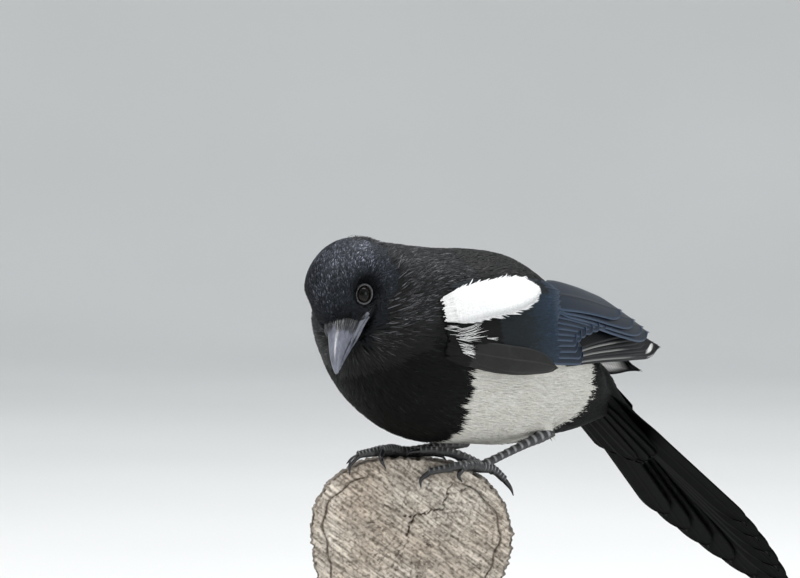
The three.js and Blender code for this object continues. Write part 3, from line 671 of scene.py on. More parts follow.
class Shader:
    """A material under construction round one Principled surface."""

    def __init__(self, name: str, **sockets: object) -> None:
        """Starts the material.

        Args:
            name: the material's name.
            **sockets: constants of the surface's sockets, spaces written as underscores.
        """
        self.material = bpy.data.materials.new(name)
        self.material.use_nodes = True
        self.tree = self.material.node_tree
        self.surface = self.tree.nodes["Principled BSDF"]
        for key, value in sockets.items():
            self.surface.inputs[key.replace("_", " ")].default_value = value

    def node(self, kind: str, inputs: Optional[dict] = None, **settings: object) -> bpy.types.Node:
        """Adds a node.

        Args:
            kind: its type without the prefix ShaderNode.
            inputs: constants, or outputs of other nodes, by input name or number.
            **settings: its own settings.

        Returns:
            The node.
        """
        made = self.tree.nodes.new("ShaderNode" + kind)
        for key, value in settings.items():
            setattr(made, key, value)
        for key, value in (inputs or {}).items():
            if isinstance(value, Socket):
                self.tree.links.new(value, made.inputs[key])
            else:
                made.inputs[key].default_value = value
        return made

    def value(self, name: str) -> Socket:
        """A number kept on the piece's points."""
        return self.node("Attribute", attribute_name=name).outputs["Fac"]

    def place(self, scale: Sequence[float] = (1, 1, 1)) -> Socket:
        """Object coordinates, scaled."""
        coordinates = self.node("TexCoord").outputs["Object"]
        return self.node("Mapping", {"Vector": coordinates, "Scale": scale}).outputs["Vector"]

    def noise(self, vector: Socket, scale: float, detail: float = 4.0) -> Socket:
        """Noise from 0 to 1 at a scale."""
        return self.node("TexNoise", {"Vector": vector, "Scale": scale, "Detail": detail}).outputs["Fac"]

    def ramp(self, factor: Socket, stops: Sequence[tuple[float, Colour]]) -> Socket:
        """Colours read off a scale of stops from 0 to 1.

        Args:
            factor: what is read.
            stops: places and colours.

        Returns:
            The colour read.
        """
        made = self.node("ValToRGB", {"Fac": factor})
        scale = made.color_ramp.elements
        while len(scale) < len(stops):
            scale.new(1.0)
        for element, (place, colour) in zip(scale, stops):
            element.position = place
            element.color = (*colour, 1.0)
        return made.outputs["Color"]

    def math(self, operation: str, a: object, b: object = 0.0) -> Socket:
        """Arithmetic on two numbers."""
        return self.node("Math", {0: a, 1: b}, operation=operation).outputs["Value"]

    def blend(self, share: object, a: object, b: object, kind: str = "MIX") -> Socket:
        """One colour laid over another."""
        a, b = ((*c, 1.0) if isinstance(c, tuple) else c for c in (a, b))
        return self.node("Mix", {0: share, 6: a, 7: b}, data_type="RGBA", blend_type=kind).outputs[2]

    def remap(self, value: Socket, source: tuple[float, float], target: tuple[float, float]) -> Socket:
        """A number carried from one range to another."""
        ends = dict(zip(("From Min", "From Max", "To Min", "To Max"), (*source, *target)))
        return self.node("MapRange", {"Value": value, **ends}).outputs["Result"]

    def shaded(self, colour: Socket, level: Socket) -> Socket:
        """A colour made darker or lighter by a number."""
        grey = self.node("CombineColor", {k: level for k in range(3)}).outputs["Color"]
        return self.blend(1.0, colour, grey, "MULTIPLY")

    def colour(self, source: Socket) -> None:
        """Sets the surface's colour."""
        self.tree.links.new(source, self.surface.inputs["Base Color"])

    def rough(self, source: Socket) -> None:
        """Sets the surface's roughness."""
        self.tree.links.new(source, self.surface.inputs["Roughness"])

    def bump(self, height: Socket, strength: float, distance: float) -> None:
        """Raises the surface by a height, the distance in millimetres."""
        inputs = {"Height": height, "Strength": strength, "Distance": distance * MILLIMETRE}
        self.tree.links.new(self.node("Bump", inputs).outputs["Normal"], self.surface.inputs["Normal"])


@dataclass(frozen=True)
class PlumeFinish:
    """Soft small feathers whose tone varies from tuft to tuft, with painted shade toward each root."""

    name: str
    shades: tuple[tuple[float, Colour], ...]
    # root: how bright a tuft's root is, a painted shade where the tufts over it would shade it
    root: float = 0.5
    roughness: float = 0.5
    specular: float = 0.4
    tint: Colour = (1.0, 1.0, 1.0)
    sheen: float = 0.0

    def make(self) -> Material:
        """Builds the material.

        Returns:
            The material.
        """
        shader = Shader(
            self.name, Roughness=self.roughness, Specular_IOR_Level=self.specular,
            Specular_Tint=(*self.tint, 1.0), Sheen_Weight=self.sheen, Sheen_Roughness=0.4,
        )
        shade = shader.ramp(shader.value("shade"), self.shades)
        # Painted shade: each tuft darkens from its tip toward its root
        painted_root_shade = shader.remap(shader.value("reach"), (0.0, 1.0), (self.root, 1.0))
        uneven = shader.remap(shader.noise(shader.place(), 900.0, 2.0), (0.0, 1.0), (0.8, 1.2))
        shader.colour(shader.shaded(shade, shader.math("MULTIPLY", painted_root_shade, uneven)))
        return shader.material


@dataclass(frozen=True)
class VaneFinish:
    """A glossy flight feather: barbs at a slant, a pale shaft and marks kept on its points."""

    name: str
    body: Colour
    edge: Colour
    mark: Colour = (0.8, 0.8, 0.78)
    shaft: Colour = (0.02, 0.02, 0.022)
    roughness: float = 0.36
    specular: float = 0.5
    tint: Colour = (1.0, 1.0, 1.0)

    def make(self) -> Material:
        """Builds the material.

        Returns:
            The material.
        """
        shader = Shader(
            self.name, Roughness=self.roughness, Specular_IOR_Level=self.specular,
            Specular_Tint=(*self.tint, 1.0),
        )
        across = shader.value("across")
        wide = shader.math("ABSOLUTE", across)
        slant = shader.math("ADD", shader.value("length"), shader.math("MULTIPLY", wide, -4.0))
        barbs = shader.math("SINE", shader.math("MULTIPLY", slant, 7.0))
        worn = shader.noise(shader.place(), 260.0, 3.0)
        shade = shader.ramp(worn, ((0.25, self.body), (0.8, tuple(0.55 * c for c in self.body))))
        shade = shader.blend(shader.remap(across, (0.8, 1.0), (0.0, 1.0)), shade, self.edge)
        shade = shader.blend(shader.remap(wide, (0.02, 0.07), (1.0, 0.0)), shade, self.shaft)
        shade = shader.blend(shader.value("mark"), shade, self.mark)
        shader.colour(shader.shaded(shade, shader.remap(barbs, (-1.0, 1.0), (0.78, 1.12))))
        shader.bump(barbs, 0.5, 0.05)
        return shader.material


class Plumage(Enum):
    """Finishes of the small feathers."""

    # Crown: its brightest tips, pale lilac-blue, are a painted sheen of the glossy black head feathers
    CROWN = PlumeFinish(
        "crown_feathers",
        ((0.0, (0.0015, 0.0016, 0.002)), (0.3, (0.0065, 0.0073, 0.0098)), (0.55, (0.032, 0.035, 0.046)),
         (0.8, (0.125, 0.133, 0.17)), (1.0, (0.38, 0.39, 0.47))),
        root=0.1, roughness=0.5, specular=0.22, tint=(0.8, 0.9, 1.0),
    )
    NECK = PlumeFinish(
        "neck_feathers",
        ((0.0, (0.002, 0.002, 0.0022)), (0.42, (0.0065, 0.0065, 0.007)), (0.6, (0.032, 0.032, 0.034)),
         (0.8, (0.105, 0.106, 0.115)), (1.0, (0.24, 0.24, 0.26))),
        root=0.3, roughness=0.5, specular=0.22,
    )
    BREAST = PlumeFinish(
        "breast_feathers",
        ((0.0, (0.001, 0.001, 0.001)), (0.75, (0.0028, 0.0032, 0.0032)), (1.0, (0.016, 0.019, 0.018))),
        root=0.4, roughness=0.6, specular=0.12,
    )
    MANTLE = PlumeFinish(
        "mantle_feathers",
        ((0.0, (0.003, 0.003, 0.003)), (0.6, (0.009, 0.0085, 0.008)), (1.0, (0.05, 0.046, 0.042))),
        root=0.3, roughness=0.55, specular=0.2,
    )
    VENT = PlumeFinish(
        "vent_feathers",
        ((0.0, (0.001, 0.001, 0.001)), (0.8, (0.003, 0.0032, 0.0032)), (1.0, (0.012, 0.012, 0.012))),
        root=0.4, roughness=0.6, specular=0.12,
    )
    BELLY = PlumeFinish(
        "belly_feathers",
        ((0.0, (0.6, 0.585, 0.53)), (0.5, (0.68, 0.665, 0.615)), (1.0, (0.76, 0.75, 0.71))),
        root=0.86, roughness=0.8, specular=0.1, sheen=0.1,
    )
    SHOULDER = PlumeFinish(
        "shoulder_feathers",
        ((0.0, (0.74, 0.74, 0.73)), (0.5, (0.84, 0.84, 0.835)), (1.0, (0.9, 0.9, 0.895))),
        root=0.86, roughness=0.75, specular=0.12, sheen=0.1,
    )
    LESSER = PlumeFinish(
        "lesser_coverts",
        ((0.0, (0.002, 0.002, 0.002)), (0.35, (0.004, 0.0065, 0.007)), (0.7, (0.010, 0.022, 0.042)),
         (1.0, (0.03, 0.055, 0.10))),
        root=0.6, roughness=0.5, specular=0.3, tint=(0.75, 0.88, 1.0),
    )
    STREAK = PlumeFinish(
        "streaked_feathers",
        ((0.0, (0.003, 0.003, 0.003)), (0.5, (0.006, 0.006, 0.006)), (0.56, (0.7, 0.7, 0.69)),
         (1.0, (0.86, 0.86, 0.85))),
        root=0.7, roughness=0.65, specular=0.15,
    )
    BRISTLE = PlumeFinish(
        "nasal_hairs",
        ((0.0, (0.004, 0.004, 0.0045)), (0.5, (0.03, 0.031, 0.035)), (1.0, (0.34, 0.35, 0.37))),
        root=0.5, roughness=0.4, specular=0.45,
    )


class Vanes(Enum):
    """Finishes of the flight feathers."""

    WING = VaneFinish(
        "wing_vanes", (0.0045, 0.010, 0.022), (0.036, 0.066, 0.12), roughness=0.4, tint=(0.75, 0.85, 1.0)
    )
    HAND = VaneFinish(
        "hand_vanes", (0.002, 0.0024, 0.0032), (0.006, 0.007, 0.009), mark=(0.75, 0.75, 0.73),
        shaft=(0.005, 0.005, 0.006), roughness=0.45, specular=0.14,
    )
    COVERT = VaneFinish(
        "covert_vanes", (0.009, 0.019, 0.038), (0.025, 0.045, 0.08), mark=(0.1, 0.14, 0.2),
        roughness=0.5, specular=0.35, tint=(0.75, 0.88, 1.0),
    )
    LEAF = VaneFinish(
        "leaf_vanes", (0.0095, 0.009, 0.0083), (0.022, 0.021, 0.021), shaft=(0.022, 0.021, 0.02),
        roughness=0.55, specular=0.3,
    )
    TAIL = VaneFinish(
        "tail_vanes", (0.0011, 0.0016, 0.0014), (0.003, 0.0042, 0.0036), shaft=(0.003, 0.0035, 0.003),
        roughness=0.6, specular=0.03,
    )


class Markings:
    """Where the bird is black and where it is white, in the bird's frame."""

    BREAST_HEIGHTS = (-50.0, -45.0, -39.0, -30.0, -24.0, -9.0, 10.0)
    BREAST_EDGES = (67.0, 64.0, 61.0, 65.5, 70.5, 73.0, 73.0)
    VENT_HEIGHTS = (-52.0, -46.0, -43.5, -40.0, -32.0, -19.0, -8.0)
    VENT_EDGES = (14.0, 4.0, -8.0, -21.0, -31.0, -35.0, -33.0)
    BACK_HEIGHT = 13.0

    @classmethod
    def white(cls, points: Array, ragged: float = 2.2) -> Array:
        """Whether places lie on the white belly and flanks.

        Args:
            points: places on the skin.
            ragged: how uneven the borders are in millimetres.

        Returns:
            True for each white place.
        """
        x, z = points[:, 0], points[:, 2]
        uneven = ragged * ripple(points, 9.0, 5) + 0.5 * ragged * ripple(points, 3.0, 6)
        front = x < np.interp(z, cls.BREAST_HEIGHTS, cls.BREAST_EDGES) + uneven
        rear = x > np.interp(z, cls.VENT_HEIGHTS, cls.VENT_EDGES) + 0.7 * uneven
        return front & rear & (z < cls.BACK_HEIGHT)


def head_share(points: Array) -> tuple[Array, Array]:
    """Places in the head's frame, and their distance from the middle of the face."""
    local = HEAD.into(points)
    return local, np.linalg.norm(local - [-6, 0, 0], axis=1)


def lie_of_coat(points: Array, normals: Array) -> Array:
    """Direction in which the feathers lie, along the skin.

    Args:
        points: roots in the bird's frame.
        normals: outward directions there.

    Returns:
        One direction for each root.
    """
    bill = HEAD.out(np.array([[21.0, 0.0, -5.0]]))[0]
    from_bill = unit(points - bill)
    far = smooth(20, 95, np.linalg.norm(points - bill, axis=1))[:, None]
    back = unit(np.array([-1.0, 0.0, -0.12])) + np.zeros_like(points)
    below = smooth(0, -45, points[:, 2])[:, None]
    back = mix(back, unit(np.array([-0.95, 0.0, -0.05])), below)
    lie = mix(from_bill, back, far)
    local = HEAD.into(points)
    for _, side in SIDES:
        eye = EYE.frame(side)
        off = eye.into(local) * [1, 0, 1]
        near = np.exp(-(np.linalg.norm(off, axis=1) / 7.5) ** 2) * (local[:, 1] * side > 3)
        lie += HEAD.turned(eye.turned(unit(off))) * 1.6 * near[:, None]
    lie -= normals * (lie * normals).sum(1, keepdims=True)
    return unit(lie)


class Skin:
    """The bird's skin as one closed form under the coat."""

    VOXEL = 1.7

    def __init__(self) -> None:
        """Models the form and keeps its triangles."""
        self.piece = self.rough_form()
        mesh = self.piece.data
        mesh.calc_loop_triangles()
        points = np.zeros(len(mesh.vertices) * 3, np.float32)
        mesh.vertices.foreach_get("co", points)
        points = BIRD.into(points.reshape(-1, 3).astype(float) / MILLIMETRE)
        points, normals = FORM.drop(points, steps=5)
        self.points, self.normals = points, normals
        world = BIRD.out(points) * MILLIMETRE
        mesh.vertices.foreach_set("co", world.astype(np.float32).ravel())
        corners = np.zeros(len(mesh.loop_triangles) * 3, np.int32)
        mesh.loop_triangles.foreach_get("vertices", corners)
        self.triangles = corners.reshape(-1, 3)
        mesh.shade_smooth()
        mesh.update()

    @staticmethod
    def ball(centre: Array, radii: Sequence[float], turn: Array) -> Piece:
        """One rounded mass, in millimetres in the frame of the stand.

        Args:
            centre: its middle.
            radii: its half sizes.
            turn: its axes as columns.

        Returns:
            The new object.
        """
        bpy.ops.object.select_all(action="DESELECT")
        bpy.ops.mesh.primitive_uv_sphere_add(segments=32, ring_count=20, radius=1.0)
        ball = bpy.context.object
        points = np.array([v.co for v in ball.data.vertices]) * np.array(radii)
        points = (points @ turn.T + centre) * MILLIMETRE
        ball.data.vertices.foreach_set("co", points.astype(np.float32).ravel())
        return ball

    def rough_form(self) -> Piece:
        """Masses of the trunk, head, rump and thighs, joined and given an even mesh.

        Returns:
            The joined object.
        """
        masses = []
        for x in np.arange(-76.0, 125.0, 6.0):
            height, width, depth = (float(v[0]) for v in BODY.at(np.array([x])))
            half = 9.0 if -60 < x < 110 else 7.0
            masses.append((TRUNK, (x, 0, height), (half * 1.6, width - 1, depth - 1)))
        for part in (FORM.skull, FORM.face, FORM.rump):
            masses.append((part.frame, part.centre, part.radii))
        for leg in LEGS:
            heel, axis = leg.thigh()
            for share in (0.0, 0.35, 0.7):
                masses.append((TRUNK, heel + share * axis, (3.5 + 10 * share,) * 3))
        balls = [
            self.ball(BIRD.out(f.out(np.array(c, float))), r, BIRD.axes @ f.axes)
            for f, c, r in masses
        ]
        bpy.ops.object.select_all(action="DESELECT")
        for ball in balls:
            ball.select_set(True)
        bpy.context.view_layer.objects.active = balls[0]
        bpy.ops.object.join()
        skin = bpy.context.object
        skin.name = skin.data.name = "skin"
        remesh = skin.modifiers.new("even", "REMESH")
        remesh.mode = "VOXEL"
        remesh.voxel_size = self.VOXEL * MILLIMETRE
        bpy.ops.object.modifier_apply(modifier=remesh.name)
        return skin

    def roots(self, density: Field, rng: Draw) -> tuple[Array, Array]:
        """Scatters roots evenly over the skin.

        Args:
            density: roots for each square millimetre at given places.
            rng: the draw.

        Returns:
            Roots and the outward directions there.
        """
        corner = self.points[self.triangles]
        cross = np.cross(corner[:, 1] - corner[:, 0], corner[:, 2] - corner[:, 0])
        area = np.linalg.norm(cross, axis=1) / 2
        total = (area * density(corner.mean(1))).cumsum()
        count = int(total[-1])
        picks = (np.arange(count) + rng.random(count)) / count * total[-1]
        chosen = np.searchsorted(total, picks).clip(0, len(total) - 1)
        u, v = rng.random((2, count))
        flip = u + v > 1
        u[flip], v[flip] = 1 - u[flip], 1 - v[flip]
        a, b, c = (corner[chosen, k] for k in range(3))
        points = a + (b - a) * u[:, None] + (c - a) * v[:, None]
        return points, unit(self.normals[self.triangles[chosen]].mean(1))

    def dress(self) -> None:
        """Gives the skin the coat's markings."""
        white = Markings.white(self.points)
        attribute = self.piece.data.attributes.new("mark", "FLOAT", "POINT")
        attribute.data.foreach_set("value", white.astype(np.float32))
        shader = Shader("skin_under_coat", Roughness=0.8, Specular_IOR_Level=0.15)
        mottled = shader.noise(shader.place(), 300.0)
        dark = shader.ramp(mottled, ((0.3, (0.002, 0.002, 0.002)), (0.7, (0.005, 0.005, 0.005))))
        pale = shader.ramp(mottled, ((0.3, (0.5, 0.48, 0.43)), (0.7, (0.66, 0.64, 0.58))))
        shader.colour(shader.blend(shader.value("mark"), dark, pale))
        shader.bump(mottled, 0.4, 0.3)
        replaced = ("torso", "neck", "head", "thigh_left", "thigh_right")
        finish_piece(self.piece, shader.material, replaced)


# Width of a tuft's own patch on the unwrapped skin, and where its four places lie from root to tip
PATCH_SIZE = 0.003
TUFT_STEPS = (0.0, 0.4, 0.75, 1.0)


def tuft_mesh(
    centre: Array, normal: Array, width: Array, keel: float, shade: Array, patch: Array,
) -> tuple[Array, Array, Named, Named]:
    """Narrow folded leaves, one for each tuft.

    Args:
        centre: middle line of each tuft, four places from root to tip.
        normal: direction out of the coat at those places.
        width: full width of each tuft.
        keel: height of the fold as a share of the width.
        shade: shade of each tuft, from 0 to 1.
        patch: place of each root on the unwrapped skin.

    Returns:
        Points, triangles, UV maps and values.
    """
    count = len(centre)
    side = unit(np.cross(normal, unit(np.gradient(centre, axis=1))))
    spread = np.array([0.55, 1.0, 0.72])
    half = (width / 2)[:, None, None] * spread[None, :, None]
    rows = centre[:, :3]
    left = rows - side[:, :3] * half
    right = rows + side[:, :3] * half
    ridge = rows + normal[:, :3] * half * 2 * keel
    points = np.stack([left, ridge, right], axis=2).reshape(count, 9, 3)
    points = np.concatenate([points, centre[:, 3:4]], axis=1)
    local = []
    for r in (0, 3):
        for c in (0, 1):
            a, b = r + c, r + c + 1
            local += [(a, b + 3, b), (a, a + 3, b + 3)]
    local += [(6, 9, 7), (7, 9, 8)]
    faces = (np.array(local)[None] + 10 * np.arange(count)[:, None, None]).reshape(-1, 3)
    across = np.tile([-1.0, 0.0, 1.0], 3).tolist() + [0.0]
    # reach runs from 0 at the root to 1 at the tip; the finishes paint shade toward the root with it
    reach = np.repeat([0.0, 0.33, 0.7], 3).tolist() + [1.0]
    cell = np.stack([across, 2 * np.array(reach) - 1], axis=1) * PATCH_SIZE / 2
    maps = {"OFBake": (patch[:, None, :] + cell[None]).reshape(-1, 2)}
    values = {"shade": np.repeat(shade, 10), "reach": np.tile(reach, count)}
    return points.reshape(-1, 3), faces, maps, values


def trunk_unwrap(points: Array) -> Array:
    """Unwraps the body: round its axis and along it.

    Args:
        points: places in the bird's frame.

    Returns:
        Two numbers for each place.
    """
    height, width, depth = BODY.at(points[:, 0])
    turn = np.arctan2((points[:, 2] - height) / depth, points[:, 1] / width)
    return np.stack([0.5 + 0.96 * turn / math.tau, (points[:, 0] + 100) / 260], axis=1)


def head_unwrap(points: Array) -> Array:
    """Unwraps the head: round its axis and along it."""
    x, y, z = HEAD.into(points).T
    return np.stack([0.5 + 0.96 * np.arctan2(z, y) / math.tau, (x + 50) / 90], axis=1)


@dataclass(frozen=True)
class Coat:
    """One zone of small feathers on the skin."""

    name: str
    seed: int
    finish: Plumage
    zone: Field
    density: float
    length: tuple[float, float]
    width: tuple[float, float]
    rise: float
    keel: float = 0.16
    stray: float = 0.16
    tone: Optional[Field] = None
    slot: str = "black_feathers"
    side: int = 0
    of_head: bool = False

    @staticmethod
    def halves(name: str, seeds: tuple[int, int], **sizes: object) -> list["Coat"]:
        """One zone as a coat for each side of the bird."""
        pairs = zip(SIDES, seeds)
        return [Coat(f"{name}_{word}", seed, side=side, **sizes) for (word, side), seed in pairs]

    def thickness(self, points: Array) -> Array:
        """Tufts for each square millimetre.

        Args:
            points: places on the skin.

        Returns:
            A density for each place, 0 outside the zone.
        """
        inside = self.zone(points)
        if self.side:
            across = (HEAD.into(points) if self.of_head else points)[:, 1]
            inside = inside & ((across > 0) == (self.side > 0))
        return self.density * inside * uncovered(points)

    def build(self, skin: Skin) -> None:
        """Grows the zone's tufts and dresses them.

        Args:
            skin: what they grow on.
        """
        rng = np.random.default_rng(self.seed)
        roots, normals = skin.roots(self.thickness, rng)
        count = len(roots)
        lie = lie_of_coat(roots, normals)
        side = np.cross(normals, lie)
        swing = self.stray * (rng.normal(size=count) + 1.2 * ripple(roots, 7.0, self.seed + 1))
        lie = unit(lie + side * swing[:, None])
        length = rng.uniform(*self.length, count)
        width = rng.uniform(*self.width, count)
        if self.of_head:
            room = eye_room(roots)
            length, width = length * room, width * (0.4 + 0.6 * room)
        middle, out_middle = FORM.drop(roots + lie * (length * 0.5)[:, None], steps=2)
        tip, out_tip = FORM.drop(roots + lie * length[:, None], steps=2)
        rise = self.rise * rng.uniform(0.7, 1.15, count)
        lift = (-0.35, 0.62, 0.95, 1.0)
        spots, outs = [], []
        for t, up in zip(TUFT_STEPS, lift):
            a, b, c = (1 - t) * (1 - 2 * t), 4 * t * (1 - t), t * (2 * t - 1)
            out = unit(a * normals + b * out_middle + c * out_tip)
            height = rise * up if up > 0 else up
            spots.append(a * roots + b * middle + c * tip + out * np.reshape(height, (-1, 1)))
            outs.append(out)
        centre, normal = np.stack(spots, axis=1), np.stack(outs, axis=1)
        shade = np.clip(rng.beta(1.6, 2.4, count) + 0.12 * ripple(roots, 16.0, self.seed + 2), 0, 1)
        if self.tone:
            shade *= self.tone(roots)
        unwrap = head_unwrap if self.of_head else trunk_unwrap
        mesh = tuft_mesh(centre, normal, width, self.keel, shade, unwrap(roots))
        piece = mesh_piece(self.name, *mesh)
        finish_piece(piece, self.finish.value.make())


# Where feathers of each kind grow, in millimetres: how far the bill's root lies ahead of the head's
# middle, how far the small ones reach from the face, where along the body the neck's, the breast's and
# the back's begin, the height of the back's edge, and the places and turns that the folded wings cover
BILL_ROOT = 10.0
HEAD_COAT_REACH = 27.0
NECK_START = 60.0
BREAST_START = 45.0
MANTLE_START = -45.0
MANTLE_EDGE = 13.0
UNDER_WING = ((-50.0, 74.0), (0.0, 36.0))


def eye_room(points: Array) -> Array:
    """Share of their length that feathers keep near an eye and near the bill.

    Args:
        points: places in the bird's frame.

    Returns:
        One share for each place.
    """
    local = HEAD.into(points)
    room = 0.3 + 0.7 * smooth(EYE.clearing, 13, EYE.off_axis(local))
    ahead = np.linalg.norm(local - [20, 0, -6], axis=1)
    return room * (0.35 + 0.65 * smooth(6, 22, ahead))


def uncovered(points: Array) -> Array:
    """Leaves out what the bill, the eyes and the folded wings cover.

    Args:
        points: places in the bird's frame.

    Returns:
        1 where feathers grow and 0 elsewhere.
    """
    local = HEAD.into(points)
    keep = np.ones(len(points))
    keep[EYE.off_axis(local) < EYE.clearing] = 0
    for bill in (UPPER_BILL, LOWER_BILL):
        top, low, wide = bill.at(local[:, 0])
        inside = (local[:, 0] > BILL_ROOT) & (np.abs(local[:, 1]) < wide * 0.92)
        keep[inside & (local[:, 2] < top - 0.8) & (local[:, 2] > low)] = 0
    x, turn = points[:, 0], turn_up(points)
    (rear, front), (low, high) = UNDER_WING
    keep[(x < front) & (x > rear) & (turn > low) & (turn < high)] = 0
    return keep


def on_head(points: Array) -> Array:
    """The head down to where its small feathers grow longer."""
    local, away = head_share(points)
    return away < HEAD_COAT_REACH + 3 * ripple(points, 12.0, 31) + 2.5 * ripple(points, 3.5, 34)


def head_tone(points: Array) -> Array:
    """How light the head's feathers are: black lores and chin, crown and cheeks paler with painted sheen.

    Args:
        points: places in the bird's frame.

    Returns:
        One share for each place.
    """
    local, away = head_share(points)
    side = np.abs(local[:, 1])
    lores = np.exp(-((local[:, 0] - 8) / 10) ** 2 - ((local[:, 2] + 4) / 9) ** 2) * smooth(-1, 4, side)
    chin = smooth(-9, -16, local[:, 2])
    rim = np.exp(-(EYE.off_axis(local) / 9.5) ** 4)
    fade = smooth(20, 30, away)
    return (1 - 0.93 * lores) * (1 - 0.6 * chin) * (1 - 0.7 * rim) * (1 - 0.42 * fade)


def above_breast(points: Array) -> Array:
    """Height of places on the neck over its border with the breast."""
    return points[:, 2] - 12 - 0.55 * (92 - points[:, 0]) - 3 * ripple(points, 10.0, 33)


def neck_tone(points: Array) -> Array:
    """How light the neck's feathers are: darker down to the breast."""
    by_wing = smooth(106, 90, points[:, 0]) * smooth(26, 12, points[:, 2])
    return (0.2 + 0.8 * smooth(-1, 17, above_breast(points))) * (1 - 0.75 * by_wing)


def zone_neck(points: Array) -> Array:
    """Sides and back of the neck behind the head."""
    return ~on_head(points) & (points[:, 0] > NECK_START) & (above_breast(points) > 0)


def zone_breast(points: Array) -> Array:
    """Throat and breast down to the white belly."""
    black = ~Markings.white(points) & (points[:, 0] > BREAST_START)
    return black & ~on_head(points) & ~zone_neck(points) & ~zone_mantle(points)


def zone_mantle(points: Array) -> Array:
    """Back between the wings and over their upper edges."""
    x, z = points[:, 0], points[:, 2]
    return ~on_head(points) & (x <= NECK_START) & (x > MANTLE_START) & (z > MANTLE_EDGE)


def zone_belly(points: Array) -> Array:
    """White belly and flanks."""
    return Markings.white(points) & ~on_head(points)


def zone_vent(points: Array) -> Array:
    """Black rear of the belly, thighs and coverts at the root of the tail."""
    black = ~Markings.white(points)
    return black & (points[:, 0] <= BREAST_START) & ~zone_mantle(points)


COATS = (
    *Coat.halves(
        "coat_head", (11, 12), finish=Plumage.CROWN, zone=on_head, density=5.6, length=(2.5, 4.2),
        width=(0.55, 1.0), rise=1.1, keel=0.22, stray=0.24, tone=head_tone, of_head=True,
    ),
    *Coat.halves(
        "coat_neck", (13, 20), finish=Plumage.NECK, zone=zone_neck, density=3.0, length=(7, 11.5),
        width=(0.32, 0.62), rise=2.3, tone=neck_tone,
    ),
    *Coat.halves(
        "coat_breast", (14, 15), finish=Plumage.BREAST, zone=zone_breast, density=2.0, length=(8.5, 13),
        width=(0.5, 0.95), rise=2.5,
    ),
    Coat("coat_mantle", 16, Plumage.MANTLE, zone_mantle, 1.8, (8, 12), (1.0, 1.7), 2.3, stray=0.14),
    *Coat.halves(
        "coat_belly", (17, 18), finish=Plumage.BELLY, zone=zone_belly, density=2.1, length=(11, 16),
        width=(0.5, 0.85), rise=2.0, keel=0.06, stray=0.1, slot="belly_feathers",
    ),
    Coat("coat_vent", 19, Plumage.VENT, zone_vent, 2.1, (8, 12), (0.5, 0.9), 2.2),
)


@dataclass(frozen=True)
class VaneShape:
    """Outline of a vane: its width at the root, where it is full, where its tip starts to round."""

    root: float = 0.35
    full: float = 0.22
    shoulder: float = 0.78
    blunt: float = 0.05
    rounding: float = 0.05

    def half(self, u: Array) -> Array:
        """Half width as a share of the widest, from root to tip.

        Args:
            u: places from root to tip, 0 to 1.

        Returns:
            One share for each place.
        """
        start = mix(self.root, 1.0, np.minimum(1.0, u / self.full))
        past = np.maximum(0.0, u - self.shoulder) / (1 - self.shoulder)
        return start * np.maximum(self.blunt, np.sqrt(1 - past ** 2))


def rising(start: float, gain: float) -> Lift:
    """Height of a vane that rises evenly from its root to its tip."""
    return lambda u, along, turn: start + gain * u


# Places across a vane, closer together at its shaft and its edges
ACROSS = np.array([-1.0, -0.8, -0.5, -0.2, -0.05, 0.0, 0.05, 0.2, 0.5, 0.8, 1.0])


